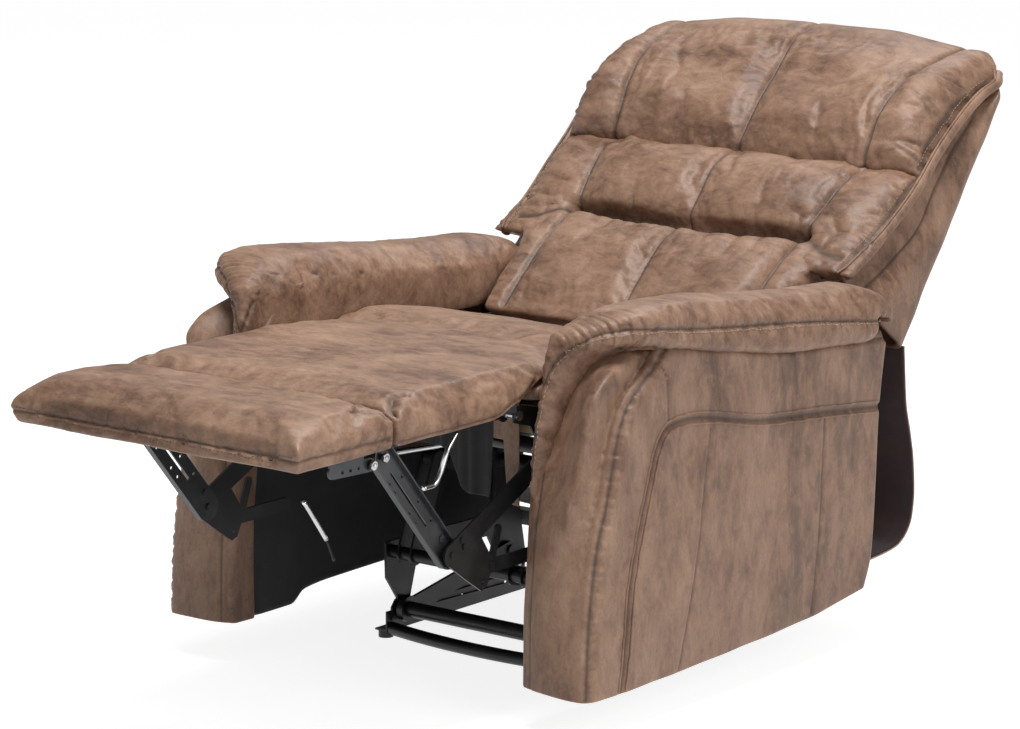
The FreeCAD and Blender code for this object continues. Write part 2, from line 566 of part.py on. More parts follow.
def clear_of_arms(shape):
    """The shape without what would meet an arm anywhere between the reclined and the upright back."""
    for x0, x1 in ((-500, -ARM_INNER + 8), (ARM_INNER - 8, 500)):
        shape = shape.cut(prism(ARM_CLEAR, x0, x1)).cut(disc(BACK_PIVOT, ARM_SWEEP, x0, x1))
    return shape


def back_parts():
    rear, front = POST_FORWARD
    low, high = POST_RISE
    post = back_prism([(low, rear), (high, rear), (high, front), (low, front)], POST_X0, POST_X1)
    rails = [back_prism([(r, rear), (r + RAIL_RISE, rear), (r + RAIL_RISE, front), (r, front)],
                        -POST_X0, POST_X0) for r in (low, high - RAIL_RISE)]
    spring_face = POST_FORWARD[1] + SOFT_GAP
    spring_ends = [in_back(r, spring_face) for r in (POST_RISE[0] + 4, POST_RISE[1] - 4)]
    springs = [serpentine(*spring_ends, i * BACK_SPRING_PITCH, SPRING_SWING, SPRING_WIRE, 26)
               for i in (-1.5, -0.5, 0.5, 1.5)]
    front_of_springs = spring_face + SPRING_WIRE + SOFT_GAP
    frame_rear = POST_FORWARD[0]
    half = WING_INNER - CUSHION_GAP
    lumbar = back_prism([(34, front_of_springs + 60), (34, 54), (80, 42), (145, 30), (210, 22), (250, -12),
                         (WAIST - 2, -42), (WAIST, front_of_springs), (80, front_of_springs)], -half, half)
    roll = back_prism([(WAIST + 3, front_of_springs), (WAIST + 3, -46), (294, -36), (330, -34), (380, -34),
                       (418, -50), (TUCK - 2, -72), (TUCK, front_of_springs)], -half, half)
    over = POST_RISE[1] + 10
    pillow = back_prism([(TUCK + 3, front_of_springs), (TUCK + 3, -90), (442, -78), (468, -72), (520, -72),
                         (617, -88), (690, -104), (728, -122), (752, -150), (762, -180), (756, frame_rear),
                         (over, frame_rear), (over, front_of_springs)], -half, half)
    inside = BACK_WIDTH - BACK_WALL - SOFT_GAP
    wing = back_prism([(165, 14), (222, -8), (300, -32), (435, -48), (535, -42), (585, -50), (640, -78),
                       (690, -114), (730, -150), (748, -184), (744, frame_rear), (165, frame_rear)],
                      WING_INNER, inside)
    wing = clear_of_arms(wing)
    side = back_prism([(200, -12), (300, -60), (420, -100), (560, -140), (660, -180), (720, -212),
                       (700, BACK_REAR), (SHELL_LOW, BACK_REAR)], inside + SOFT_GAP, BACK_WIDTH)
    side = clear_of_arms(side)
    shell_front = frame_rear - SOFT_GAP
    shell = back_prism([(SHELL_LOW, BACK_REAR), (SHELL_TOP, BACK_REAR), (SHELL_TOP, shell_front),
                        (SHELL_LOW, shell_front)], -inside, inside)
    return {
        "back_brackets": pair(back_bracket()),
        "back_tie_tube": pipe(BACK_LEVER, 12, TUBE_WALL, -BACK_PLATE_X, BACK_PLATE_X),
        "back_posts": pair(post),
        "back_cross_rails": Part.makeCompound(rails),
        "back_springs": Part.makeCompound(springs),
        "back_shell": shell,
        "lumbar_cushion": lumbar,
        "middle_roll": roll,
        "head_pillow": pillow,
        "wing_left": wing,
        "wing_right": mirrored(wing),
        "back_side_left": side,
        "back_side_right": mirrored(side),
    }


def recline_parts():
    motor, rod = actuator(RECLINE_MOTOR, BACK_LEVER, RECLINE_MOTOR_X, neck=34, body_end=130, tube_end=290,
                          rod_start=150, body_radius=25, tube_radius=14, rod_radius=8, eye_bore=15.5,
                          pivot_bore=PIN_RADIUS + BORE_CLEARANCE)
    return {"recline_motor": motor, "recline_rod": rod}


# ---- Footrest ----------------------------------------------------------------------------------------------
CALF_PLATE_X = 233.0
CHANNEL_X = 240.0
LOWER_LINK_X = 254.0
CALF_FRONT, FLAP_FRONT = -665.0, -890.0      # front ends of the calf pad and of the foot flap's pad
BOARD_HALF = PAD_HALF - 12
BOARD = (BOARD_TOP - 10.0, BOARD_TOP)    # under and upper face of the calf board
FLAP_BOARD = (BOARD[0], BOARD[1] - 2.0)


def calf_parts():
    x0, x1 = CALF_PLATE_X, CALF_PLATE_X + LINK_WALL
    seam = CALF_FRONT
    cy, cz = CALF_HINGE
    plate = fused(bar(CALF_HINGE, (seam + 25, cz), 16, x0, x1), disc(CALF_HINGE, 14, x0, x1),
                  bar((seam + 25, cz - 5), FLAP_HINGE, 26, x0, x1), disc(CHANNEL_TOP, 16, x0, x1),
                  prism([(seam + 25, cz), (seam + 25, BOARD[0]), (cy - 25, BOARD[0]), (cy - 25, cz)], x0, x1))
    plate = plate.cut(disc(CALF_HINGE, PIN_RADIUS + BORE_CLEARANCE, x0 - 1, x1 + 1))
    link_outer = LOWER_LINK_X + LINK_WALL
    flap_pin = fused(disc(FLAP_HINGE, PIN_RADIUS, x0, link_outer + PLAY),
                     disc(FLAP_HINGE, PIN_RADIUS + PIN_HEAD, link_outer + SOFT_GAP, link_outer + 5))
    channel_pin = fused(disc(CHANNEL_TOP, PIN_RADIUS, x0, LOWER_LINK_X - PLAY),
                        disc(CHANNEL_TOP, PIN_RADIUS + PIN_HEAD, LOWER_LINK_X - 1.7, LOWER_LINK_X - 0.5))
    bracket = fused(plate, flap_pin, channel_pin)
    front = cy + 13
    low, high = BOARD[1] + SOFT_GAP, SEAT_HEIGHT - 1
    pad = prism([(front, low), (front, high - 6), (front - 18, high), (seam + 20, high),
                 (seam + 2, high - 10), (seam + 2, low)], -PAD_HALF, PAD_HALF)
    return {
        "calf_board": box(-BOARD_HALF, BOARD_HALF, seam + 10, cy - 17, *BOARD),
        "calf_pad": pad,
        "calf_brackets": pair(bracket),
    }


def flap_parts():
    seam, front = CALF_FRONT - 3, FLAP_FRONT
    x0, x1 = LOWER_LINK_X, LOWER_LINK_X + LINK_WALL
    y, z = FLAP_HINGE
    bracket = fused(bar(FLAP_HINGE, (y - 82, z + 3), 21, x0, x1),
                    prism([(y - 90, z + 2), (y - 90, BOARD[0]), (y - 14, BOARD[0]), (y - 14, z + 2)], x0, x1))
    bracket = bracket.cut(disc(FLAP_HINGE, PIN_RADIUS + BORE_CLEARANCE, x0 - 1, x1 + 1))
    for step in (26, 44, 62):
        bracket = bracket.cut(disc((y - step, z), 3.2, x0 - 1, x1 + 1))
    low = FLAP_BOARD[1] + SOFT_GAP
    high = SEAT_HEIGHT - 6
    pad = prism([(seam, low + 6.7), (seam, high - 5), (seam - 22, high), (front + 34, high),
                 (front + 6, high - 12), (front, low + 17.7), (front + 4, low + 2), (front + 14, low),
                 (seam - 40, low)], -PAD_HALF, PAD_HALF)
    return {
        "flap_board": box(-BOARD_HALF, BOARD_HALF, front + 14, seam - 40, *FLAP_BOARD),
        "flap_pad": pad,
        "flap_brackets": pair(bracket),
    }


def channel_link():
    """Pressed channel with a long slot, small holes and folded edges, and its rivets at the knuckle."""
    x0, wall, depth = CHANNEL_X, 3.0, 12.0
    start, end = CHANNEL_TOP, KNUCKLE
    length = math.dist(start, end)
    outer = bar(start, end, 46, x0, x0 + depth)
    inner = bar(start, end, 46 - 2 * wall, x0 + wall, x0 + depth + 1)
    link = outer.cut(inner)
    slot = bar(along(start, end, 40), along(start, end, length - 70), 5, x0 - 1, x0 + depth + 1)
    link = link.cut(slot)
    holes = ((48, -13), (68, -13), (118, -13), (140, -13), (62, 13), (120, 13), (165, 13))
    for distance, offset in holes:
        link = link.cut(disc(along(start, end, distance, offset), 3, x0 - 1, x0 + depth + 1))
    link = link.cut(disc(start, PIN_RADIUS + BORE_CLEARANCE, x0 - 1, x0 + depth + 1))
    rivets = [disc(along(end, start, d, o), 6, x0 - 3, x0 + 5) for d, o in ((0, 0), (24, -10))]
    return fused(link, *rivets)


def lower_link():
    """Plate from the chassis to the knuckle, with the knuckle's pointed tail and the bar behind it."""
    x0, x1 = LOWER_LINK_X, LOWER_LINK_X + LINK_WALL
    ky, kz = KNUCKLE
    link = fused(bar(LINK_PIVOT, KNUCKLE, 34, x0, x1),
                 prism([(ky - 14, kz - 12), (ky - 10, kz + 14), (ky + 60, kz + 30), (ky + 100, kz - 30),
                        (ky + 82, kz - 66), (ky + 70, kz - 70), (ky + 40, kz - 50)], x0, x1),
                 bar((ky + 93, kz - 35), (ky + 201, kz - 35), 22, x0, x1),
                 bar((ky + 93, kz - 35), (ky + 112, kz + 20), 14, x0, x1))
    link = link.cut(disc(LINK_PIVOT, PIN_RADIUS + BORE_CLEARANCE, x0 - 1, x1 + 1))
    link = link.cut(disc((ky + 74, kz - 58), 2.5, x0 - 1, x1 + 1))
    rivets = [disc((ky + dy, kz + dz), 6, x0, x1 + 3) for dy, dz in ((0, 0), (29, 8), (24, 20), (93, -35))]
    return fused(link, *rivets)


def drive_tube():
    """Tube that turns the two lower links together, with the crank plates of the footrest rod."""
    tube = pipe(LINK_PIVOT, TUBE_RADIUS, TUBE_WALL, -LOWER_LINK_X, LOWER_LINK_X)
    for x0 in (FOOT_MOTOR_X + CLEVIS_HALF, FOOT_MOTOR_X - CLEVIS_HALF - LINK_WALL):
        plate = bar(LINK_PIVOT, CRANK_EYE, 32, x0, x0 + LINK_WALL)
        tube = fused(tube, plate.cut(disc(LINK_PIVOT, TUBE_RADIUS - 1, x0 - 1, x0 + LINK_WALL + 1)))
    return tube


def footrest_parts():
    motor, rod = actuator(FOOT_MOTOR, CRANK_EYE, FOOT_MOTOR_X, neck=60, body_end=104, tube_end=345,
                          rod_start=315, body_radius=27, tube_radius=15, rod_radius=9,
                          eye_bore=PIN_RADIUS + 1, pivot_bore=PIN_RADIUS + BORE_CLEARANCE)
    return {
        **calf_parts(),
        **flap_parts(),
        "channel_links": pair(channel_link()),
        "lower_links": pair(lower_link()),
        "drive_tube": drive_tube(),
        "foot_motor": motor,
        "foot_rod": rod,
    }


def build():
    parts = {**base_parts(), **lift_parts(), **chassis_parts(), **back_parts(), **recline_parts(),
             **footrest_parts()}
    for shape in parts.values():
        shape.translate(Vector(0, CENTRE_SHIFT, 0))
    return parts


def main():
    os.makedirs("parts", exist_ok=True)
    for name, shape in build().items():
        shape.exportStep(os.path.join("parts", name + ".step"))
        print(f"{name}: {len(shape.Solids)} solids, valid {shape.isValid()}")


main()
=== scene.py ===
"""Upholstery, finishes, light and camera of a power lift recliner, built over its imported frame.

Metres. +X is the seated person's left, -Y is the front and +Z is up. At rest the chair is fully reclined with
its footrest out. Padded pieces are drawn a little small, remeshed, blown up as cloth, and only then get their
seams.
"""
import json
import logging
import math
from dataclasses import dataclass, field
from enum import Enum
from typing import Callable, Optional, Sequence

import bmesh
import bpy
import numpy as np
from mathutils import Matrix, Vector
from mathutils.bvhtree import BVHTree


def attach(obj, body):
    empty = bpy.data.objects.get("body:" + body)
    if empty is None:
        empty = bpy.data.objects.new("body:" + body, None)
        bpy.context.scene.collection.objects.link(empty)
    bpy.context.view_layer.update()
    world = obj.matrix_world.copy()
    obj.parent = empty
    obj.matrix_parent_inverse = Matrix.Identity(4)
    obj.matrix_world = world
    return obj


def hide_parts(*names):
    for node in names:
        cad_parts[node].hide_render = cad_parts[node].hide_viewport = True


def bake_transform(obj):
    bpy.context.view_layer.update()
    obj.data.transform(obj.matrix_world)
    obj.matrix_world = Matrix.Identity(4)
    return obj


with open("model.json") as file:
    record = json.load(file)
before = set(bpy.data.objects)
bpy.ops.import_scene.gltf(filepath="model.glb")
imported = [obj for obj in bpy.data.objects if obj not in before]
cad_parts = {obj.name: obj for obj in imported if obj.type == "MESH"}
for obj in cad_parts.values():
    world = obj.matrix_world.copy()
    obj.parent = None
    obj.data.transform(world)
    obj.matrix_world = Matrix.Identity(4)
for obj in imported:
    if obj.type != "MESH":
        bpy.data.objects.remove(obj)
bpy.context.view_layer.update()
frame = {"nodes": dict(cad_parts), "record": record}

Array = np.ndarray
Knots = Sequence[tuple[float, float]]
Piece = bpy.types.Object
Socket = bpy.types.NodeSocket
log = logging.getLogger("recliner")


class Body(str, Enum):
    """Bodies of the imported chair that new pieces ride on."""

    CHASSIS = "chassis"
    BACK = "backrest"
    CALF = "calf_rest"
    FLAP = "foot_flap"


class Side(int, Enum):
    """The two arms, by the sign of their X."""

    LEFT = 1
    RIGHT = -1

    @property
    def word(self) -> str:
        """The side's name, as the CAD nodes spell it."""
        return self.name.lower()


# ---- Numbers and lines ----
def joint_at(name: str) -> Array:
    """Where a hinge of the chair is.

    Args:
        name: the joint's name.

    Returns:
        Its position at rest.
    """
    joints = frame["record"]["behaviour"]["joints"]
    return np.array(next(j["pos_m"] for j in joints if j["name"] == name), float)


def rise_of(value: Array, low: float, high: float) -> Array:
    """Climbs from 0 at low to 1 at high and is level at both: 3t^2 - 2t^3 of the clipped share t.

    Args:
        value: where to read the climb.
        low: last value that gives 0.
        high: first value that gives 1.

    Returns:
        Shares from 0 to 1.
    """
    t = np.clip((np.asarray(value, float) - low) / (high - low), 0.0, 1.0)
    return t * t * (3 - 2 * t)


def through(knots: Knots, at: Array) -> Array:
    """A smooth line through knots: cubic pieces whose slope at a knot is the harmonic mean of its two chords.

    Args:
        knots: (place, value) pairs with rising places.
        at: places to read the line at; beyond the ends it stays level.

    Returns:
        The line's values.
    """
    x, y = np.array(knots, float).T
    step = np.diff(x)
    chord = np.diff(y) / step
    slope = np.concatenate([chord[:1], np.zeros(len(x) - 2), chord[-1:]])
    same = chord[:-1] * chord[1:] > 0
    total = np.where(same, chord[:-1] + chord[1:], 1.0)
    slope[1:-1] = np.where(same, 2 * chord[:-1] * chord[1:] / total, 0.0)
    at = np.asarray(at, float)
    i = np.clip(np.searchsorted(x, at) - 1, 0, len(x) - 2)
    t = np.clip((at - x[i]) / step[i], 0.0, 1.0)
    lift = y[i] * (1 + 2 * t) * (1 - t) ** 2 + y[i + 1] * t * t * (3 - 2 * t)
    return lift + step[i] * (slope[i] * t * (1 - t) ** 2 - slope[i + 1] * t * t * (1 - t))


def even_line(points: Sequence[Sequence[float]], count: int) -> Array:
    """A smooth line through points in any number of dimensions, at even steps of its length.

    Args:
        points: the points that the line passes.
        count: how many points come back.

    Returns:
        An array of count rows.
    """
    p = np.array(points, float)
    reach = np.concatenate([[0.0], np.cumsum(np.linalg.norm(np.diff(p, axis=0), axis=1))])
    fine = np.linspace(0.0, reach[-1], 12 * count)
    line = np.stack([through(np.column_stack([reach, p[:, k]]), fine) for k in range(p.shape[1])], axis=1)
    length = np.concatenate([[0.0], np.cumsum(np.linalg.norm(np.diff(line, axis=0), axis=1))])
    want = np.linspace(0.0, length[-1], count)
    return np.stack([np.interp(want, length, line[:, k]) for k in range(p.shape[1])], axis=1)


def both_sides(points: Knots) -> list[Array]:
    """A line in the plane, mirrored to the right and as it is."""
    return [np.array(points) * (sign, 1.0) for sign in (-1, 1)]


def way_along(line: Array) -> Array:
    """Unit directions along a line, one for each of its points."""
    run = np.gradient(line, axis=0)
    return run / np.linalg.norm(run, axis=1)[:, None]


def left_of(line: Array) -> Array:
    """Unit directions square to a line in the plane, to its left."""
    run = way_along(line)
    return np.column_stack([-run[:, 1], run[:, 0]])


def right_of(plans: Array) -> Array:
    """Unit directions square to each row of plan points, to its right.

    Args:
        plans: rows of points with two coordinates each.

    Returns:
        An array of the same shape.
    """
    run = np.gradient(plans, axis=1)
    run /= np.maximum(np.linalg.norm(run, axis=-1, keepdims=True), 1e-9)
    return np.stack([run[..., 1], -run[..., 0]], axis=-1)


def squared_circle(turn: Array, power: Array) -> tuple[Array, Array]:
    """A circle pulled towards a square: cosine and sine keep their signs, and their sizes go to a power.

    Args:
        turn: angles.
        power: 1 leaves a circle, and less squares it.

    Returns:
        The two coordinates, from -1 to 1.
    """
    across, up = np.cos(turn), np.sin(turn)
    return np.sign(across) * np.abs(across) ** power, np.sign(up) * np.abs(up) ** power


def crowded(rows: int, cols: int) -> tuple[Array, Array]:
    """Shares of a grid that crowd towards its rim: sin(t pi/2) across, (1 - cos(t pi))/2 lengthwise.

    Args:
        rows: lines lengthwise.
        cols: lines across.

    Returns:
        Crosswise shares from -1 to 1 in a row, and lengthwise shares from 0 to 1 in a column.
    """
    return (np.sin(np.linspace(-1, 1, cols) * math.pi / 2)[None, :],
            (1 - np.cos(np.linspace(0, 1, rows) * math.pi))[:, None] / 2)


def stretches(share: Array, parts: Sequence[tuple[Array, Array]]) -> tuple[Array, Array]:
    """Joins the stretches of a plan side by side, one row for each share of the height.

    Args:
        share: shares of the height, in a column.
        parts: the stretches, each with its two coordinates.

    Returns:
        The plan's two coordinates.
    """
    one, other = (np.concatenate([part[k] + 0.0 * share for part in parts], axis=1) for k in (0, 1))
    return one, other


def from_line(points: Array, line: Array) -> tuple[Array, Array]:
    """How far points lie from a line in the plane, and how far along it their nearest point is.

    Args:
        points: rows of two coordinates.
        line: the line's own rows.

    Returns:
        Distances, and lengths along the line.
    """
    best = np.full(len(points), np.inf)
    along = np.zeros(len(points))
    start = 0.0
    for a, b in zip(line[:-1], line[1:]):
        run = b - a
        length = float(np.hypot(*run)) or 1e-9
        t = np.clip((points - a) @ run / length ** 2, 0.0, 1.0)
        gap = np.hypot(*(points - a - t[:, None] * run).T)
        near = gap < best
        best[near] = gap[near]
        along[near] = start + t[near] * length
        start += length
    return best, along


def creases(gap: Array, along: Array, pitch: float, reach: float, seed: int) -> Array:
    """Pinched folds that run away from a seam, each at its own place, slant, depth and length.

    Fold number i is exp(-((along - place_i - slant_i gap) / width_i)^2), and fades as (1 - gap/length_i)^1.5.

    Args:
        gap: distances from the seam.
        along: lengths along the seam.
        pitch: typical distance from fold to fold.
        reach: typical length of a fold.
        seed: picks the folds.

    Returns:
        Depths from 0 to about 1.
    """
    rng = np.random.default_rng(seed)
    count = max(int(along.max() / pitch), 1)
    places = (np.arange(count) + rng.uniform(-0.38, 0.38, count)) * pitch
    depth = np.zeros_like(along)
    for place, slant, length, width, deep in zip(places, rng.normal(0, 0.3, count),
                                                 reach * rng.uniform(0.5, 2.0, count),
                                                 np.maximum(pitch * rng.uniform(0.13, 0.24, count), 0.0022),
                                                 rng.uniform(0.25, 1.0, count)):
        near = np.flatnonzero((gap < length) & (np.abs(along - place) < 4 * width + 2 * length))
        off = along[near] - place - slant * gap[near]
        depth[near] += deep * np.exp(-(off / width) ** 2) * (1 - gap[near] / length) ** 1.5
    return depth


def ripple(along: Array, pitch: float, seed: int) -> Array:
    """Uneven folds along a line: three sines of nearby pitch whose phases come from the seed.

    Args:
        along: lengths along the line.
        pitch: typical distance from fold to fold.
        seed: picks the phases.

    Returns:
        Heights from about -1 to 1.
    """
    rng = np.random.default_rng(seed)
    wave = np.zeros_like(along)
    for share, weight in ((1.0, 0.5), (0.63, 0.3), (1.7, 0.35)):
        wave += weight * np.sin(2 * math.pi * along / (pitch * share) + rng.uniform(0, 6.28))
    return wave


# ---- Meshes ----
def piece_from(name: str, points: Array, faces: Sequence[Sequence[int]]) -> Piece:
    """A new mesh object at the origin.

    Args:
        name: the piece's name.
        points: rows of coordinates.
        faces: rows of corner numbers.

    Returns:
        The object, linked to the scene.
    """
    mesh = bpy.data.meshes.new(name)
    mesh.from_pydata(points.reshape(-1, 3).tolist(), [], [list(map(int, f)) for f in faces])
    mesh.update()
    piece = bpy.data.objects.new(name, mesh)
    bpy.context.scene.collection.objects.link(piece)
    return piece


def grid_faces(rows: int, cols: int, ring: bool = False) -> Array:
    """Quads of a grid whose points run row by row.

    Args:
        rows: points down the grid.
        cols: points across it.
        ring: whether the last column joins the first.

    Returns:
        Rows of four corner numbers.
    """
    r = np.arange(rows - 1)[:, None] * cols
    c = np.arange(cols if ring else cols - 1)[None, :]
    d = (c + 1) % cols
    return np.stack([r + c, r + d, r + cols + d, r + cols + c], axis=-1).reshape(-1, 4)


def closed_loft(name: str, rings: Array) -> Piece:
    """A closed body through rings of points, with a fan at each end.

    Args:
        name: the piece's name.
        rings: an array of rings, each a row of points.

    Returns:
        The piece, with its faces outwards.
    """
    rows, cols = rings.shape[:2]
    points = np.vstack([rings.reshape(-1, 3), rings[0].mean(axis=0), rings[-1].mean(axis=0)])
    faces = grid_faces(rows, cols, ring=True).tolist()
    turn = [(i, (i + 1) % cols) for i in range(cols)]
    last = (rows - 1) * cols
    faces += [(rows * cols, b, a) for a, b in turn] + [(rows * cols + 1, last + a, last + b) for a, b in turn]
    piece = piece_from(name, points, faces)
    face_outwards(piece)
    return piece


def face_outwards(piece: Piece) -> None:
    """Merges doubled points and turns every face outwards."""
    work = bmesh.new()
    work.from_mesh(piece.data)
    bmesh.ops.remove_doubles(work, verts=work.verts, dist=1e-5)
    bmesh.ops.recalc_face_normals(work, faces=work.faces)
    work.to_mesh(piece.data)
    work.free()


def points_of(piece: Piece) -> Array:
    """The piece's points as rows."""
    out = np.empty(len(piece.data.vertices) * 3, np.float32)
    piece.data.vertices.foreach_get("co", out)
    return out.reshape(-1, 3).astype(float)


def normals_of(piece: Piece) -> Array:
    """The outward direction at each point of the piece."""
    out = np.empty(len(piece.data.vertices) * 3, np.float32)
    piece.data.vertex_normals.foreach_get("vector", out)
    return out.reshape(-1, 3).astype(float)


def put_points(piece: Piece, points: Array) -> None:
    """Moves the piece's points to new places."""
    piece.data.vertices.foreach_set("co", points.astype(np.float32).ravel())
    piece.data.update()


def mark(piece: Piece, name: str, values: Array) -> None:
    """Adds values to a number kept at each point, which the finishes read.

    Args:
        piece: the piece.
        name: the attribute's name.
        values: one number for each point; the larger of old and new is kept.
    """
    kept = piece.data.attributes.get(name)
    if kept is None:
        kept = piece.data.attributes.new(name, "FLOAT", "POINT")
    old = np.zeros(len(values), np.float32)
    kept.data.foreach_get("value", old)
    kept.data.foreach_set("value", np.maximum(old, values).astype(np.float32))


def settle(piece: Piece) -> None:
    """Bakes the piece's modifiers into its mesh."""
    graph = bpy.context.evaluated_depsgraph_get()
    graph.update()
    baked = bpy.data.meshes.new_from_object(piece.evaluated_get(graph))
    old = piece.data
    piece.modifiers.clear()
    piece.data = baked
    bpy.data.meshes.remove(old)
    baked.name = piece.name


def modified(piece: Piece, kind: str, **values: object) -> None:
    """Adds one modifier, sets it and bakes it.

    Args:
        piece: the piece.
        kind: Blender's name for the modifier.
        values: its settings.
    """
    modifier = piece.modifiers.new(kind.title(), kind)
    for key, value in values.items():
        setattr(modifier, key, value)
    settle(piece)


def refine(piece: Piece) -> None:
    """One round of subdivision."""
    modified(piece, "SUBSURF", levels=1, render_levels=1)


def soften(piece: Piece, repeats: int) -> None:
    """Evens out the piece's surface."""
    modified(piece, "SMOOTH", factor=0.5, iterations=repeats)


def thicken(piece: Piece, thickness: float, **values: object) -> None:
    """Gives a sheet its thickness, half on each side."""
    modified(piece, "SOLIDIFY", thickness=thickness, offset=0.0, **values)


def joined(name: str, pieces: Sequence[Piece]) -> Piece:
    """One piece made of several, whose own objects are deleted.

    Args:
        name: the new piece's name.
        pieces: what goes in.

    Returns:
        The new piece.
    """
    points, faces, start = [], [], 0
    for piece in pieces:
        points.append(points_of(piece))
        faces += [[start + v for v in p.vertices] for p in piece.data.polygons]
        start += len(piece.data.vertices)
    for piece in pieces:
        bpy.data.objects.remove(piece)
    return piece_from(name, np.vstack(points), faces)


def rounded(piece: Piece, angle: float = 180.0) -> Piece:
    """Shades the piece smooth where its faces meet at less than the angle, in degrees.

    Returns:
        The same piece.
    """
    piece.data.polygons.foreach_set("use_smooth", np.ones(len(piece.data.polygons), bool))
    if angle < 180.0:
        work = bmesh.new()
        work.from_mesh(piece.data)
        for edge in work.edges:
            edge.smooth = len(edge.link_faces) < 2 or edge.calc_face_angle(0.0) < math.radians(angle)
        work.to_mesh(piece.data)
        work.free()
    return piece


def sweep(name: str, path: Array, radius: float, sides: int) -> Piece:
    """A round cord along a path: circles square to it, each with one diameter square to the same fixed axis.

    Args:
        name: the piece's name.
        path: the middle line's points.
        radius: the cord's radius.
        sides: points round it.

    Returns:
        The piece.
    """
    tangent = way_along(path)
    across = np.cross(tangent, (0.0, 0.0, 1.0) if abs(tangent[0, 2]) < 0.9 else (1.0, 0.0, 0.0))
    across /= np.linalg.norm(across, axis=1)[:, None]
    up = np.cross(across, tangent)
    turn = np.linspace(0, 2 * math.pi, sides, endpoint=False)
    rings = path[:, None] + radius * (np.cos(turn)[None, :, None] * across[:, None]
                                      + np.sin(turn)[None, :, None] * up[:, None])
    return rounded(closed_loft(name, rings))


class Skin:
    """The surface of a finished piece, for laying threads and welts on it."""

    def __init__(self, piece: Piece) -> None:
        """Reads the piece's surface."""
        self.tree = BVHTree.FromPolygons([v.co[:] for v in piece.data.vertices],
                                         [p.vertices[:] for p in piece.data.polygons])

    def lay(self, line: Array, lift: float) -> tuple[Array, Array]:
        """The nearest points of the surface to a line.

        Args:
            line: the line's points.
            lift: how far the result stands off the surface.

        Returns:
            Points and outward directions.
        """
        places, normals = [], []
        for point in line:
            place, normal, _, _ = self.tree.find_nearest(Vector(point))
            places.append(np.array(place) + lift * np.array(normal))
            normals.append(np.array(normal))
        return np.array(places), np.array(normals)


def stitches(name: str, path: Array, normals: Array, pitch: float = 0.008, thread: float = 0.0006) -> Piece:
    """A row of short threads: each is a bead of four rings that arches off the surface by a share of a sine.

    Args:
        name: the piece's name.
        path: the row's line on the surface, at even steps.
        normals: the surface's direction at each point.
        pitch: length of one stitch and its gap.
        thread: the thread's radius.

    Returns:
        The piece.
    """
    length = np.concatenate([[0.0], np.cumsum(np.linalg.norm(np.diff(path, axis=0), axis=1))])
    count = max(int(length[-1] / pitch), 2)
    share = np.array([0.0, 0.12, 0.5, 0.88, 1.0])
    swell = np.array([0.15, 0.8, 1.0, 0.8, 0.15])
    at = (np.arange(count)[:, None] + 0.14 + 0.72 * share[None, :]) * pitch
    middle = np.stack([np.interp(at, length, path[:, k]) for k in range(3)], axis=-1)
    normal = np.stack([np.interp(at, length, normals[:, k]) for k in range(3)], axis=-1)
    middle += normal * (thread * 0.9 * np.sin(math.pi * share))[None, :, None]
    run = middle[:, -1:] - middle[:, :1]
    side = np.cross(normal, run)
    side /= np.linalg.norm(side, axis=-1, keepdims=True)
    turn = np.linspace(0, 2 * math.pi, 5, endpoint=False)
    ring = (np.cos(turn)[:, None] * side[:, :, None] + np.sin(turn)[:, None] * normal[:, :, None])
    rings = middle[:, :, None] + thread * swell[None, :, None, None] * ring
    one = grid_faces(5, 5, ring=True).tolist() + [[4, 3, 2, 1, 0], [20, 21, 22, 23, 24]]
    faces = [[25 * i + v for v in f] for i in range(count) for f in one]
    return rounded(piece_from(name, rings.reshape(-1, 3), faces))


# ---- Stuffing and seams ----
@dataclass(frozen=True)
class Stuffing:
    """How a padded piece is blown up as cloth."""

    voxel: float = 0.006
    pressure: float = 4.0
    cap: float = 0.022
    slack: float = 0.03
    frames: int = 20

    def fill(self, piece: Piece, held: Callable[[Array, Array], Array], smooth: int = 6) -> None:
        """Remeshes the piece evenly, then blows it up with some points held.

        Args:
            piece: a closed piece, drawn slightly small.
            held: from points and outward directions to how firmly each is held, 0 to 1.
            smooth: rounds of evening out before the air goes in.
        """
        modified(piece, "REMESH", mode="VOXEL", voxel_size=self.voxel)
        if smooth:
            soften(piece, smooth)
        start = points_of(piece)
        grip = np.clip(held(start, normals_of(piece)), 0.0, 1.0)
        group = piece.vertex_groups.new(name="held")
        for step in np.unique(np.round(grip, 1)):
            if step > 0:
                group.add(np.flatnonzero(np.round(grip, 1) == step).tolist(), float(step), "REPLACE")
        cloth = piece.modifiers.new("Air", "CLOTH")
        air = cloth.settings
        air.quality = 5
        air.mass = 0.25
        air.tension_stiffness = air.compression_stiffness = 12.0
        air.shear_stiffness = 8.0
        air.bending_stiffness = 0.6
        air.use_pressure = True
        air.uniform_pressure_force = self.pressure
        air.shrink_min = -self.slack
        air.vertex_group_mass = "held"
        air.effector_weights.gravity = 0.0
        cloth.collision_settings.use_collision = False
        cloth.point_cache.frame_start, cloth.point_cache.frame_end = 1, self.frames
        for step in range(1, self.frames + 1):
            bpy.context.scene.frame_set(step)
        settle(piece)
        bpy.context.scene.frame_set(1)
        moved = points_of(piece) - start
        far = np.linalg.norm(moved, axis=1)
        put_points(piece, start + moved * np.minimum(1.0, self.cap / np.maximum(far, 1e-9))[:, None])
        piece.vertex_groups.clear()


@dataclass(frozen=True)
class Seam:
    """A sewn line on a piece's own map, with the valley that it pulls and the gathers beside it."""

    line: Array
    depth: float = 0.003
    width: float = 0.004
    gather: float = 0.0
    pitch: float = 0.014
    reach: float = 0.03
    swell: float = 0.0
    seed: int = 1


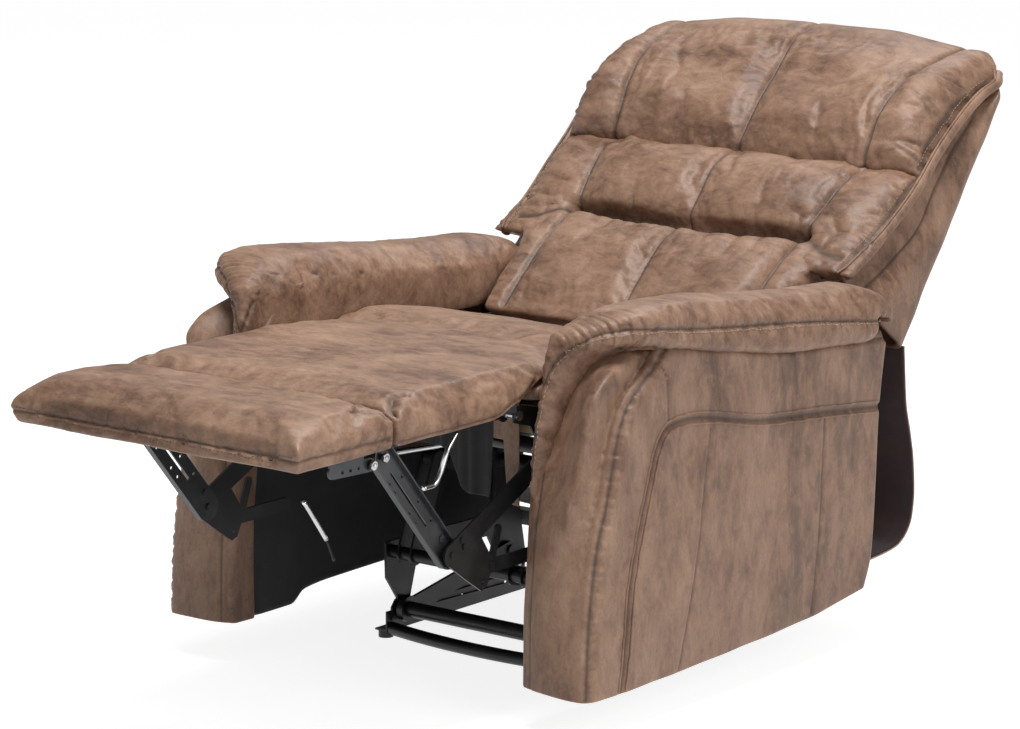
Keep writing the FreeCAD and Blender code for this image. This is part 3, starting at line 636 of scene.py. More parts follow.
def sew(piece: Piece, seams: Sequence[Seam], chart: Callable[[Array, Array], tuple[Array, Array]]) -> None:
    """Presses seams into a finished surface.

    The surface moves inwards by depth times exp(-(d/width)^2), where d is the distance to the seam. Gathers
    add creases across the seam and a soft ripple that fades as exp(-d/reach), and swell lifts the cloth on
    both sides. The seam attribute gets painted shade: dark along each seam's valley and in the gather
    creases.

    Args:
        piece: the piece, at its final fineness.
        seams: the seams.
        chart: from points and outward directions to map coordinates and each point's share, 0 to 1.
    """
    points, normals = points_of(piece), normals_of(piece)
    place, share = chart(points, normals)
    live = np.flatnonzero(share > 0.01)
    push = np.zeros(len(points))
    # painted shade: how dark each point is drawn along seam valleys and in gather creases
    dark = np.zeros(len(points))
    for seam in seams:
        gap, along = from_line(place[live], seam.line)
        valley = np.exp(-(gap / seam.width) ** 2)
        lift = -seam.depth * valley
        if seam.gather:
            fold = creases(gap, along, seam.pitch, seam.reach, seam.seed) * (1 - 0.7 * valley)
            puff = np.exp(-gap / seam.reach) * ripple(along, 2.2 * seam.pitch, seam.seed)
            lift = lift + seam.gather * (0.45 * puff - fold)
            # painted shade in the gather creases
            dark[live] = np.maximum(dark[live], 0.35 * fold * share[live])
        if seam.swell:
            lift = lift + seam.swell * (gap / seam.reach) * np.exp(1 - gap / seam.reach)
        push[live] += lift * share[live]
        # painted shade along the seam's valley
        dark[live] = np.maximum(dark[live], np.exp(-(gap / (0.6 * seam.width)) ** 2) * share[live])
    put_points(piece, points + normals * push[:, None])
    # the seam attribute carries this painted shade into the cover's colour
    mark(piece, "seam", dark)


def crumple(piece: Piece, height: float, size: float, seed: int) -> None:
    """Soft dents of worn padding: a sum of waves in six directions, along the surface's outward direction.

    Args:
        piece: the piece.
        height: height of the dents.
        size: their typical length.
        seed: picks directions and phases.
    """
    rng = np.random.default_rng(seed)
    points, normals = points_of(piece), normals_of(piece)
    total = np.zeros(len(points))
    for _ in range(6):
        way = rng.normal(size=3)
        way /= np.linalg.norm(way)
        bend = 0.35 * np.sin(points @ rng.normal(size=3) * 4.0 / size)
        total += np.sin(points @ way * 2 * math.pi / size * rng.uniform(0.6, 1.6) + bend
                        + rng.uniform(0, 6.28))
    put_points(piece, points + normals * (height * total / 2.4)[:, None])


# ---- Finishes ----
class Bench:
    """A material's node tree, with short calls to add nodes and links."""

    def __init__(self, name: str) -> None:
        """Starts an empty material with one Principled shader."""
        self.material = bpy.data.materials.new(name)
        self.material.use_nodes = True
        self.tree = self.material.node_tree
        self.tree.nodes.clear()
        self.shader = self.tree.nodes.new("ShaderNodeBsdfPrincipled")
        output = self.tree.nodes.new("ShaderNodeOutputMaterial")
        self.tree.links.new(self.shader.outputs[0], output.inputs[0])
        self.place = self.tree.nodes.new("ShaderNodeTexCoord").outputs["Object"]

    def node(self, kind: str, inputs: Optional[dict] = None, **settings: object) -> bpy.types.Node:
        """Adds a node.

        Args:
            kind: its Blender name, without the leading ShaderNode.
            inputs: socket name or number to a value or to another node's socket.
            settings: the node's own properties.

        Returns:
            The node.
        """
        new = self.tree.nodes.new("ShaderNode" + kind)
        for key, value in settings.items():
            setattr(new, key, value)
        for key, value in (inputs or {}).items():
            if isinstance(value, Socket):
                self.tree.links.new(value, new.inputs[key])
            else:
                new.inputs[key].default_value = value
        return new

    def noise(self, scale: float, detail: float = 4.0, rough: float = 0.55, twist: float = 0.0,
              stretch: tuple[float, float, float] = (1.0, 1.0, 1.0)) -> Socket:
        """Cloudy noise over the piece's own coordinates, stretched where wanted."""
        spot = self.node("Mapping", {"Vector": self.place, "Scale": stretch}).outputs[0]
        made = self.node("TexNoise", {"Vector": spot, "Scale": scale, "Detail": detail, "Roughness": rough,
                                      "Distortion": twist})
        return made.outputs[0]

    def ramp(self, value: Socket, stops: Sequence[tuple[float, tuple]]) -> Socket:
        """Colours along a value."""
        made = self.node("ValToRGB", {0: value})
        while len(made.color_ramp.elements) < len(stops):
            made.color_ramp.elements.new(0.5)
        for element, (place, colour) in zip(made.color_ramp.elements, stops):
            element.position = place
            element.color = (*colour, 1.0)
        return made.outputs[0]

    def maths(self, how: str, a: object, b: object = 0.0, clamp: bool = False) -> Socket:
        """One sum of two values."""
        return self.node("Math", {0: a, 1: b}, operation=how, use_clamp=clamp).outputs[0]

    def between(self, value: Socket, low: float, high: float, start: float = 0.0,
                end: float = 1.0) -> Socket:
        """The value moved from the span start to end into the span low to high."""
        return self.node("MapRange", {0: value, 1: start, 2: end, 3: low, 4: high}).outputs[0]

    def mixed(self, share: object, a: object, b: object, how: str = "MIX") -> Socket:
        """Two colours mixed."""
        made = self.tree.nodes.new("ShaderNodeMix")
        made.data_type = "RGBA"
        made.blend_type = how
        for socket, value in ((0, share), (6, a), (7, b)):
            if isinstance(value, Socket):
                self.tree.links.new(value, made.inputs[socket])
            else:
                made.inputs[socket].default_value = value if socket == 0 else (*value, 1.0)
        return made.outputs[2]

    def bump(self, *layers: tuple[Socket, float, float]) -> None:
        """Puts bumps on the shader, each a height, a strength and a depth in metres."""
        normal = None
        for height, strength, depth in layers:
            inputs = {"Height": height, "Strength": strength, "Distance": depth}
            if normal is not None:
                inputs["Normal"] = normal
            normal = self.node("Bump", inputs).outputs[0]
        self.tree.links.new(normal, self.shader.inputs["Normal"])

    def wire(self, **sockets: object) -> bpy.types.Material:
        """Sets or links the shader's sockets, named with _ for a space, and returns the material."""
        for key, value in sockets.items():
            socket = self.shader.inputs[key.replace("_", " ")]
            if isinstance(value, Socket):
                self.tree.links.new(value, socket)
            else:
                socket.default_value = value
        return self.material


@dataclass(frozen=True)
class RubbedHide:
    """Brown suede-look cover: cloudy brown to tan, paler flecks, painted seam and crease shade, fine creased
    grain.
    """

    name: str
    streak: tuple[float, float, float] = (1.0, 1.0, 1.0)
    deep: tuple[float, float, float] = (0.072, 0.036, 0.021)
    dark: tuple[float, float, float] = (0.132, 0.070, 0.043)
    brown: tuple[float, float, float] = (0.215, 0.121, 0.077)
    tan: tuple[float, float, float] = (0.290, 0.176, 0.116)
    pale: tuple[float, float, float] = (0.37, 0.245, 0.172)
    rough: tuple[float, float] = (0.41, 0.57)

    def make(self) -> bpy.types.Material:
        """Builds the material."""
        b = Bench(self.name)
        clouds = b.noise(11.0, 8.0, 0.64, 0.35, self.streak)
        drift = b.noise(3.4, 3.0, 0.5)
        scuff = b.noise(42.0, 7.0, 0.74, 0.6, self.streak)
        body = b.maths("ADD", b.maths("MULTIPLY", clouds, 0.44), b.maths("MULTIPLY", drift, 0.16))
        body = b.maths("ADD", body, b.maths("MULTIPLY", scuff, 0.42))
        colour = b.ramp(body, ((0.36, self.deep), (0.44, self.dark), (0.513, self.brown), (0.60, self.tan),
                               (0.72, self.pale)))
        flecks = b.between(b.noise(110.0, 6.0, 0.8, 0.6, self.streak), 0.0, 0.45, 0.55, 0.72)
        colour = b.mixed(flecks, colour, self.pale)
        specks = b.between(b.noise(190.0, 4.0, 0.8, 0.4), 0.42, 0.0, 0.30, 0.45)
        colour = b.mixed(specks, colour, self.deep)
        # painted shade: the seam attribute darkens seam valleys and gather creases to a near-black brown
        seam = b.node("Attribute", attribute_name="seam").outputs["Fac"]
        colour = b.mixed(b.maths("MULTIPLY", seam, 0.72), colour, (0.022, 0.013, 0.010))
        grain = b.node("TexVoronoi", {"Vector": b.place, "Scale": 420.0}, feature="DISTANCE_TO_EDGE")
        b.bump((b.noise(30.0, 5.0, 0.62, 0.9), 0.30, 0.0018), (b.noise(140.0, 3.0, 0.6, 0.6), 0.45, 0.0006),
               (grain.outputs[0], 0.18, 0.0003))
        rough = b.between(scuff, self.rough[0], self.rough[1], 0.3, 0.7)
        return b.wire(Base_Color=colour, Roughness=rough, Sheen_Weight=0.03, Sheen_Roughness=0.4,
                      Specular_IOR_Level=0.42)


@dataclass(frozen=True)
class Weave:
    """Woven cloth: two crossed wave patterns lift the threads, and a slow noise shades them."""

    name: str
    colour: tuple[float, float, float]
    light: tuple[float, float, float]
    pitch: float = 0.0012
    rough: float = 0.85

    def make(self) -> bpy.types.Material:
        """Builds the material."""
        b = Bench(self.name)
        heights = []
        for axis in ("Y", "Z"):
            wave = b.node("TexWave", {"Vector": b.place, "Scale": 0.314 / self.pitch, "Distortion": 0.6,
                                      "Detail": 1.0}, wave_type="BANDS", bands_direction=axis)
            heights.append(wave.outputs[1])
        cloth = b.maths("MAXIMUM", *heights)
        shade = b.noise(9.0, 5.0, 0.6, 0.4)
        colour = b.mixed(b.between(shade, 0.0, 1.0, 0.35, 0.65), self.colour, self.light)
        b.bump((b.noise(14.0, 3.0, 0.5, 0.3), 0.5, 0.004), (cloth, 0.3, 0.0004))
        return b.wire(Base_Color=colour, Roughness=self.rough, Sheen_Weight=0.25, Sheen_Roughness=0.5)


@dataclass(frozen=True)
class Enamel:
    """Painted or plated metal: slight orange peel, dust in a slow noise, and fine scratches."""

    name: str
    colour: tuple[float, float, float]
    dust: tuple[float, float, float]
    metal: float = 0.0
    rough: tuple[float, float] = (0.28, 0.5)
    peel: float = 0.25

    def make(self) -> bpy.types.Material:
        """Builds the material."""
        b = Bench(self.name)
        slow = b.noise(11.0, 6.0, 0.65, 0.3)
        scratch = b.noise(60.0, 3.0, 0.6, 0.0, (1.0, 0.06, 0.06))
        colour = b.mixed(b.between(slow, 0.0, 0.6, 0.48, 0.74), self.colour, self.dust)
        colour = b.mixed(b.between(scratch, 0.0, 0.35, 0.62, 0.72), colour, self.dust)
        b.bump((b.noise(260.0, 2.0, 0.5), self.peel, 0.0003), (scratch, 0.12, 0.0002))
        return b.wire(Base_Color=colour, Metallic=self.metal,
                      Roughness=b.between(slow, self.rough[0], self.rough[1], 0.35, 0.7))


@dataclass(frozen=True)
class Ply:
    """Raw plywood: long grain from a stretched noise and darker growth bands."""

    name: str
    light: tuple[float, float, float] = (0.56, 0.40, 0.24)
    dark: tuple[float, float, float] = (0.36, 0.23, 0.12)

    def make(self) -> bpy.types.Material:
        """Builds the material."""
        b = Bench(self.name)
        grain = b.noise(16.0, 8.0, 0.6, 0.5, (0.35, 1.0, 7.0))
        bands = b.node("TexWave", {"Vector": b.place, "Scale": 7.0, "Distortion": 6.0, "Detail": 4.0},
                       wave_type="BANDS", bands_direction="Z").outputs[1]
        mix = b.maths("ADD", b.maths("MULTIPLY", grain, 0.7), b.maths("MULTIPLY", bands, 0.3))
        colour = b.ramp(mix, ((0.3, self.dark), (0.65, self.light)))
        b.bump((grain, 0.25, 0.0006))
        return b.wire(Base_Color=colour, Roughness=0.7)


class Finishes:
    """Every material of the chair, made once."""

    def __init__(self) -> None:
        """Builds them."""
        self.side = RubbedHide("hide_side", (1.0, 1.0, 0.45)).make()
        self.top = RubbedHide("hide_top", (0.55, 1.0, 1.0)).make()
        self.thread = Weave("thread_tan", (0.27, 0.19, 0.135), (0.37, 0.28, 0.21), 0.0006).make()
        self.dark_thread = Weave("thread_dark", (0.05, 0.032, 0.024), (0.09, 0.06, 0.045), 0.0006).make()
        self.lining = Weave("lining_maroon", (0.020, 0.006, 0.006), (0.034, 0.011, 0.011), 0.0016, 0.7).make()
        self.dust = Weave("cover_black", (0.006, 0.006, 0.008), (0.018, 0.018, 0.022), 0.0018).make()
        self.black = Enamel("steel_black", (0.010, 0.010, 0.011), (0.035, 0.035, 0.036)).make()
        self.grey = Enamel("steel_grey", (0.050, 0.052, 0.056), (0.12, 0.12, 0.125), 0.55, (0.30, 0.5)).make()
        self.zinc = Enamel("steel_zinc", (0.55, 0.55, 0.56), (0.33, 0.33, 0.34), 1.0, (0.22, 0.42)).make()
        self.chrome = Enamel("steel_chrome", (0.75, 0.75, 0.76), (0.5, 0.5, 0.5), 1.0, (0.10, 0.22),
                             0.08).make()
        self.wire = Enamel("spring_wire", (0.16, 0.16, 0.17), (0.28, 0.27, 0.26), 1.0, (0.35, 0.55)).make()
        self.plastic = Enamel("plastic_black", (0.016, 0.016, 0.018), (0.04, 0.04, 0.042), 0.0,
                              (0.35, 0.55), 0.5).make()
        self.ply = Ply("plywood").make()


def dress(piece: Piece, *materials: bpy.types.Material) -> Piece:
    """Gives the piece its finishes, in slot order, and returns it."""
    piece.data.materials.clear()
    for material in materials:
        piece.data.materials.append(material)
    return piece


def mounted(piece: Piece, body: Body) -> Piece:
    """Puts the piece on its body, logs which body, and returns it."""
    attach(piece, body.value)
    log.info("%s rides on %s", piece.name, body.value)
    return piece


CLOTH = 0.0012                                             # thickness of the black cloth
QUARTER = np.linspace(0, math.pi / 2, 9)[None, 1:-1]       # angles of a corner, without its ends


# ---- Back ----
@dataclass
class Back:
    """The back, drawn in its own terms: x across, rise up along the back and forward square to it."""

    finishes: Finishes
    lean: float = math.radians(37.3)
    edge: float = 0.374           # half width at the side welts
    roll: float = 0.322           # where the front starts to round off into the sides
    crease: float = 0.440         # rise of the tuck under the head pillow
    waist: float = 0.279          # rise of the tuck under the middle roll
    top: float = 0.762
    rear: float = -0.200
    spring_face: float = -0.1415  # the cushions' underside over the springs
    arm_inside: float = 0.288     # outside this the back stays clear of the arms
    hollow: float = 0.036         # how far the sides are drawn in behind the welts
    clear: float = 0.222          # the shell's least distance from the hinge where it passes the arms
    shell_foot: float = 0.205     # rises between which the outer cover's outline is read
    shell_top: float = 0.718
    proud: float = 0.0125         # how far the outer cover stands outside the welts' line
    padding: float = 0.010        # the outer cover's thickness
    centre: Knots = ((0.03, 0.046), (0.08, 0.036), (0.144, 0.026), (0.209, 0.012), (0.25, -0.014),
                     (0.285, -0.036), (0.327, -0.036), (0.377, -0.034), (0.42, -0.050), (0.45, -0.090))
    wing: Knots = ((0.03, 0.046), (0.17, 0.014), (0.22, -0.008), (0.30, -0.038), (0.38, -0.054),
                   (0.425, -0.066), (0.45, -0.095))
    head: Knots = ((0.437, -0.120), (0.446, -0.094), (0.468, -0.078), (0.521, -0.078), (0.617, -0.096),
                   (0.69, -0.108), (0.728, -0.127), (0.752, -0.152), (0.762, -0.182))
    head_wing: Knots = ((0.437, -0.110), (0.448, -0.078), (0.49, -0.062), (0.545, -0.054), (0.59, -0.060),
                        (0.645, -0.088), (0.70, -0.128), (0.742, -0.165), (0.762, -0.192))
    welt: Knots = ((0.17, 0.010), (0.24, -0.022), (0.30, -0.050), (0.38, -0.075), (0.445, -0.092),
                   (0.50, -0.102), (0.55, -0.116), (0.605, -0.136), (0.65, -0.158), (0.70, -0.190),
                   (0.762, -0.200))
    pivot: Array = field(default_factory=lambda: joint_at("recline"))

    def place(self, x: Array, rise: Array, forward: Array) -> Array:
        """Points of the back in the chair's frame.

        Args:
            x: across.
            rise: along the back, up from its hinge.
            forward: square to the back.

        Returns:
            Coordinates in the last axis.
        """
        x, rise, forward = np.broadcast_arrays(x, rise, forward)
        s, c = math.sin(self.lean), math.cos(self.lean)
        return np.stack([x, self.pivot[1] + rise * s - forward * c, self.pivot[2] + rise * c + forward * s],
                        axis=-1)

    def read(self, points: Array) -> tuple[Array, Array, Array]:
        """The reverse of place: across, rise and forward of points."""
        s, c = math.sin(self.lean), math.cos(self.lean)
        y, z = points[..., 1] - self.pivot[1], points[..., 2] - self.pivot[2]
        return points[..., 0], y * s + z * c, -y * c + z * s

    def half_width(self, rise: Array) -> Array:
        """Half width at the welts: a little narrower beside the arms."""
        return self.edge - 0.018 * (1 - rise_of(rise, 0.18, 0.42))

    def front(self, x: Array, rise: Array, centre: Knots, wing: Knots) -> Array:
        """How far forward the front is.

        The middle line and the wing line are mixed across the width, and beyond roll the surface rounds off
        as a quarter ellipse to the side welt.

        Args:
            x: across.
            rise: up along the back.
            centre: the middle's line.
            wing: the wings' line.

        Returns:
            Forward values.
        """
        share = rise_of(np.abs(x), 0.14, 0.31)
        face = through(centre, rise) * (1 - share) + through(wing, rise) * share
        q = np.clip((np.abs(x) - self.roll) / (self.half_width(rise) - self.roll), 0.0, 1.0)
        return face - (face - through(self.welt, rise)) * (1 - np.sqrt(1 - q * q))

    def columns(self) -> Array:
        """Places across the back, closer together towards the rounded edges."""
        u = np.linspace(-1, 1, 121)
        return self.edge * np.sin(u * math.pi / 2) * 0.35 + self.edge * u * 0.65

    def lower_pad(self) -> Piece:
        """Lumbar, middle roll and wings under the head pillow, as one sewn cover.

        Every column is a closed ring: up the front, over the top, down the rear and forward under the bottom.
        The wings stop above the arms.

        Returns:
            The padded piece.
        """
        x = self.columns()[:, None]
        out = rise_of(np.abs(x), self.arm_inside - 0.012, self.arm_inside + 0.004)
        bottom = 0.036 + 0.172 * out
        v = np.linspace(0, 1, 70)[None, :]
        rise = bottom + (0.462 - bottom) * v
        face = self.front(x, rise, self.centre, self.wing)
        rear = self.spring_face + (self.rear - self.spring_face) * rise_of(np.abs(x), 0.262, 0.280)
        low = 0.084 + 0.176 * out
        w = np.linspace(0, 1, 16)[None, 1:-1]
        back_rise, back_face = 0.455 + (low - 0.455) * w, rear + 0.0 * w
        k = np.linspace(0, 1, 6)[None, :]
        mid_rise, mid_face = 0.040 + 0.192 * out, -0.084 + 0.0 * out
        under_rise = np.concatenate([low + (mid_rise - low) * k,
                                     mid_rise + (bottom - mid_rise) * k[:, 1:-1]], axis=1)
        under_face = np.concatenate([rear + (mid_face - rear) * k,
                                     mid_face + (face[:, :1] - mid_face) * k[:, 1:-1]], axis=1)
        rings = self.place(x, np.concatenate([rise, back_rise, under_rise], axis=1),
                           np.concatenate([face, back_face, under_face], axis=1))
        return self.stuffed("back_pad", rings, self.lower_seams(), Stuffing(cap=0.012, pressure=3.0),
                            (0.0010, 0.11, 4))

    def head_pad(self) -> Piece:
        """Head pillow across the whole width, which rolls over the top and overhangs the tuck below it."""
        x = self.columns()[:, None]
        out = np.abs(x)
        top = self.top - 0.010 * rise_of(out, 0.15, 0.33) - 0.050 * rise_of(out, 0.315, 0.385) ** 2
        low = 0.437
        v = np.linspace(0, 1, 70)[None, :]
        even = low + (self.top - low) * v
        rise = low + (top - low) * v
        face = self.front(x, even, self.head, self.head_wing)
        deep = rise_of(out, 0.262, 0.280)
        w = np.linspace(0, 1, 22)[None, :]
        back_rise = (top - 0.006) + (low - (top - 0.006)) * w
        inset = (self.spring_face - self.rear) * (1 - deep)
        back_face = self.rear + inset * (1 - rise_of(back_rise, 0.692, 0.712))
        k = np.linspace(0, 1, 6)[None, 1:-1]
        under_face = back_face[:, -1:] + (face[:, :1] - back_face[:, -1:]) * k
        rings = self.place(x, np.concatenate([rise, back_rise, low + 0.0 * under_face], axis=1),
                           np.concatenate([face, back_face, under_face], axis=1))
        return self.stuffed("head_pad", rings, self.head_seams(), Stuffing(cap=0.018, pressure=4.0),
                            (0.0012, 0.13, 9))

    def stuffed(self, name: str, rings: Array, seams: Sequence[Seam], stuffing: Stuffing,
                dents: tuple[float, float, int]) -> Piece:
        """A cushion of the back: blown up with its seams held, drawn in behind the welts, dented and sewn.

        Args:
            name: the piece's name.
            rings: its outline, as rings of points.
            seams: its seams.
            stuffing: how it is blown up.
            dents: height, size and seed of its soft dents.

        Returns:
            The padded piece.
        """
        piece = closed_loft(name, rings)
        stuffing.fill(piece, lambda p, _: self.held(p, seams))
        self.undercut(piece)
        refine(piece)
        crumple(piece, *dents)
        sew(piece, seams, self.chart)
        return rounded(piece)

    def undercut(self, piece: Piece) -> None:
        """Draws the sides in behind the welt, so that the front's edge stands out as a lip.

        Where a point lies d behind the welt, its |x| drops by hollow times the climb of d from 0.010 to
        0.040, times the climb of |x| from 0.28 to the edge.

        Args:
            piece: a cushion of the back.
        """
        x, rise, forward = self.read(points_of(piece))
        behind = rise_of(through(self.welt, rise) - forward, 0.010, 0.040)
        x = x - np.sign(x) * self.hollow * behind * rise_of(np.abs(x), 0.28, self.edge)
        put_points(piece, self.place(x, rise, forward))

    def held(self, points: Array, seams: Sequence[Seam]) -> Array:
        """Holds the back of a cushion, its side welts and its seams while the air goes in."""
        x, rise, forward = self.read(points)
        grip = 1 - rise_of(forward, -0.125, -0.105)
        grip = np.maximum(grip, rise_of(np.abs(x), self.edge - 0.016, self.edge - 0.006))
        grip = np.maximum(grip, 1 - rise_of(rise, 0.05, 0.07))
        for seam in seams:
            gap, _ = from_line(np.column_stack([x, rise]), seam.line)
            grip = np.maximum(grip, 0.9 * np.exp(-(gap / 0.007) ** 2))
        return grip

    def chart(self, points: Array, normals: Array) -> tuple[Array, Array]:
        """Map of the back's front: across and rise, live where the surface looks forward or sideways."""
        x, rise, forward = self.read(points)
        _, up, ahead = self.read(normals + np.array([0.0, self.pivot[1], self.pivot[2]]))
        live = np.maximum(rise_of(ahead, -0.1, 0.25), rise_of(up, 0.6, 0.9) * rise_of(rise, 0.7, 0.74))
        return np.column_stack([x, rise]), live * rise_of(forward, -0.2, -0.17)

    def edge_line(self, low: float, high: float, inset: float, sign: int) -> Array:
        """A line beside a side welt, on the map."""
        rise = np.linspace(low, high, 30)
        return np.column_stack([sign * (self.half_width(rise) - inset), rise])

    def lower_seams(self) -> list[Seam]:
        """Seams of the lumbar, middle roll and lower wings."""
        crease, waist = self.crease, self.waist
        tuck = even_line([(-0.240, waist + 0.006), (-0.12, waist), (0.0, waist - 0.002), (0.12, waist),
                          (0.240, waist + 0.006)], 30)
        seams = [Seam(np.array([[0.0, 0.05], [0.0, waist]]), 0.004, 0.0045, 0.0010, 0.016, 0.020, seed=3),
                 Seam(np.array([[0.0, waist], [0.0, crease]]), 0.004, 0.0045, 0.0010, 0.016, 0.018, seed=4),
                 Seam(tuck, 0.024, 0.012, 0.0034, 0.034, 0.032, 0.006, seed=5)]
        for sign in (-1, 1):
            panel = even_line([(sign * 0.238, 0.05), (sign * 0.240, waist), (sign * 0.250, 0.36),
                               (sign * 0.262, crease)], 24)
            seams.append(Seam(panel, 0.006, 0.006, 0.0014, 0.020, 0.024, 0.002, seed=6 + sign))
            seams.append(Seam(self.edge_line(0.20, 0.45, 0.006, sign), 0.003, 0.005, 0.0055, 0.017, 0.026,
                              seed=20 + sign))
            dart = np.array([[sign * 0.238, waist + 0.004], [sign * 0.30, waist - 0.030],
                             [sign * 0.335, waist - 0.034]])
            seams.append(Seam(dart, 0.004, 0.010, 0.0012, 0.03, 0.02, seed=30 + sign))
        return seams

    def head_seams(self) -> list[Seam]:
        """Seams of the head pillow."""
        low = self.crease - 0.004
        middle = np.array([[0.0, low], [0.0, self.top + 0.01]])
        seams = [Seam(middle, 0.005, 0.005, 0.0012, 0.018, 0.022, 0.002, seed=8)]
        for sign in (-1, 1):
            panel = even_line([(sign * 0.262, low), (sign * 0.263, 0.50), (sign * 0.274, 0.60),
                               (sign * 0.294, 0.72), (sign * 0.300, self.top + 0.01)], 30)
            seams.append(Seam(panel, 0.006, 0.006, 0.0012, 0.020, 0.026, 0.002, seed=10 + sign))
            seams.append(Seam(self.edge_line(0.46, 0.72, 0.006, sign), 0.003, 0.005, 0.0072, 0.023, 0.046,
                              seed=40 + sign))
        base = even_line([(-0.36, low + 0.004), (-0.2, low), (0.0, low - 0.002), (0.2, low),
                          (0.36, low + 0.004)], 40)
        seams.append(Seam(base, 0.004, 0.009, 0.0040, 0.036, 0.042, seed=50))
        return seams

    def low_edge(self, forward: Array) -> Array:
        """Rise of the outer cover's lower edge: level behind, and an arc about the hinge beside the arms."""
        return np.maximum(np.sqrt(np.maximum(self.clear ** 2 - forward ** 2, 0.0)), 0.188)

    def shell(self) -> Piece:
        """Outer cover of the back: in one wrap from the left welt round both rear corners to the right welt.

        A quarter of the plan runs back along the side, round the corner on a quarter circle and in to the
        middle; the other side is its mirror image. The side is hollow behind the welt and full near the
        corner.

        Returns:
            The padded piece.
        """
        v = np.linspace(0, 1, 90)[:, None]
        level = self.shell_foot + (self.shell_top - self.shell_foot) * v
        corner, side, rear = 0.028, self.edge + self.proud, self.rear - 0.0235
        front = np.maximum(through(self.welt, level) - 0.014, rear + corner + 0.006)
        a = np.linspace(0, 1, 40)[None, :]
        ahead = front + (rear + corner - front) * a
        start = self.half_width(level) + self.proud - self.hollow
        span = np.minimum(0.085, front - rear - corner)
        out = start + (side - start) * rise_of((front - ahead) / span, 0.05, 1.0)
        out = out - 0.024 * rise_of(v, 0.90, 1.0)
        curve_x = out[:, -1:] - corner + corner * np.cos(QUARTER)
        curve_f = rear + corner - corner * np.sin(QUARTER)
        b = np.linspace(0, 1, 22)[None, :]
        flat_x = (out[:, -1:] - corner) * (1 - b)
        crown = 0.004 * (1 - (1 - b) ** 6)
        flat_f = rear - crown * np.sin(math.pi * v) ** 0.4 + 0.0 * flat_x
        x = np.concatenate([out, curve_x, flat_x], axis=1)
        forward = np.concatenate([ahead, curve_f + 0.0 * v, flat_f], axis=1)
        forward = forward + 0.020 * rise_of(v, 0.94, 1.0) * rise_of(-forward, 0.15, 0.21)
        rise = self.low_edge(forward) + v * (self.shell_top - self.low_edge(forward))
        x, forward, rise = (np.concatenate([q, q[:, -2::-1]], axis=1) for q in (x, forward, rise))
        x[:, x.shape[1] // 2 + 1:] *= -1
        inward = self.padding * right_of(np.stack([x, forward], axis=-1))
        piece = shell_of("back_shell_cover", self.place(x, rise, forward),
                         self.place(x + inward[..., 0], rise, forward + inward[..., 1]))
        refine(piece)
        crumple(piece, 0.0012, 0.17, 15)

        def chart(points: Array, normals: Array) -> tuple[Array, Array]:
            """Rise and forward, live on the two sides."""
            _, up, ahead = self.read(points)
            return np.column_stack([up, ahead]), rise_of(np.abs(normals[:, 0]), 0.35, 0.7)

        line = even_line([(0.700, -0.190), (0.620, -0.176), (0.51, -0.156), (0.40, -0.146), (0.29, -0.110),
                          (0.225, -0.075)], 30)
        sew(piece, [Seam(line, 0.0020, 0.003, 0.0006, 0.03, 0.02, seed=61)], chart)
        return rounded(piece)

    def trim(self, sign: int, skins: Sequence[Skin]) -> list[Piece]:
        """Side welt, its row of stitches, and the welt at the rear corner.

        Args:
            sign: the side's sign.
            skins: surfaces of the lower pad and the head pillow.

        Returns:
            The pieces.
        """
        word = Side(sign).word
        rise = np.linspace(0.212, 0.716, 120)
        sink = 0.014 * rise_of(rise, 0.690, 0.718) + 0.006 * rise_of(-rise, -0.232, -0.212)
        welt, half = through(self.welt, rise), self.half_width(rise)
        line = self.place(sign * (half - 0.0005 - sink), rise, welt - 0.0065 - 0.4 * sink)
        rows = [dress(sweep(f"back_welt_{word}", line, 0.0092, 16), self.finishes.side)]
        beside = self.place(sign * (half + 0.0005 - sink), rise, welt + 0.0040)
        rows.append(dress(sweep(f"back_cord_{word}", beside, 0.0022, 8), self.finishes.side))
        roll = Skin(rows[0])
        for part, inset, ahead in ((roll, 0.000, 0.030), (None, 0.010, 0.012)):
            for low, high, skin in ((0.225, 0.430, skins[0]), (0.462, 0.690, skins[1])):
                rise = np.linspace(low, high, 60)
                x = sign * (self.half_width(rise) - inset)
                line = self.place(x, rise, through(self.welt, rise) + ahead)
                path, normals = (part or skin).lay(line, 0.0002)
                thread = stitches(f"back_stitch_{word}_{len(rows)}", path, normals, 0.0075, 0.00055)
                rows.append(dress(thread, self.finishes.thread))
        return rows

    def build(self) -> None:
        """Makes and mounts every piece of the back."""
        lower = dress(self.lower_pad(), self.finishes.top)
        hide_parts("lumbar_cushion", "middle_roll", "wing_left", "wing_right")
        head = dress(self.head_pad(), self.finishes.top)
        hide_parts("head_pillow")
        for piece in (lower, head):
            mounted(piece, Body.BACK)
        shell = dress(self.shell(), self.finishes.side)
        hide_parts("back_shell", "back_side_left", "back_side_right")
        mounted(shell, Body.BACK)
        skins = (Skin(lower), Skin(head))
        for side in Side:
            for piece in self.trim(side.value, skins):
                mounted(piece, Body.BACK)


def shell_of(name: str, outer: Array, inner: Array) -> Piece:
    """A closed panel between two grids of the same size, joined round their edges.

    Args:
        name: the piece's name.
        outer: the visible face.
        inner: the hidden face.

    Returns:
        The piece, with its faces outwards.
    """
    rows, cols = outer.shape[:2]
    count = rows * cols
    near = grid_faces(rows, cols)
    index = np.arange(count).reshape(rows, cols)
    rim = np.concatenate([index[0, :], index[1:, -1], index[-1, -2::-1], index[-2:0:-1, 0]])
    after = np.roll(rim, -1)
    sides = np.stack([rim, after, after + count, rim + count], axis=1)
    faces = np.vstack([near, near[:, ::-1] + count, sides])
    piece = piece_from(name, np.vstack([outer.reshape(-1, 3), inner.reshape(-1, 3)]), faces)
    face_outwards(piece)
    return piece


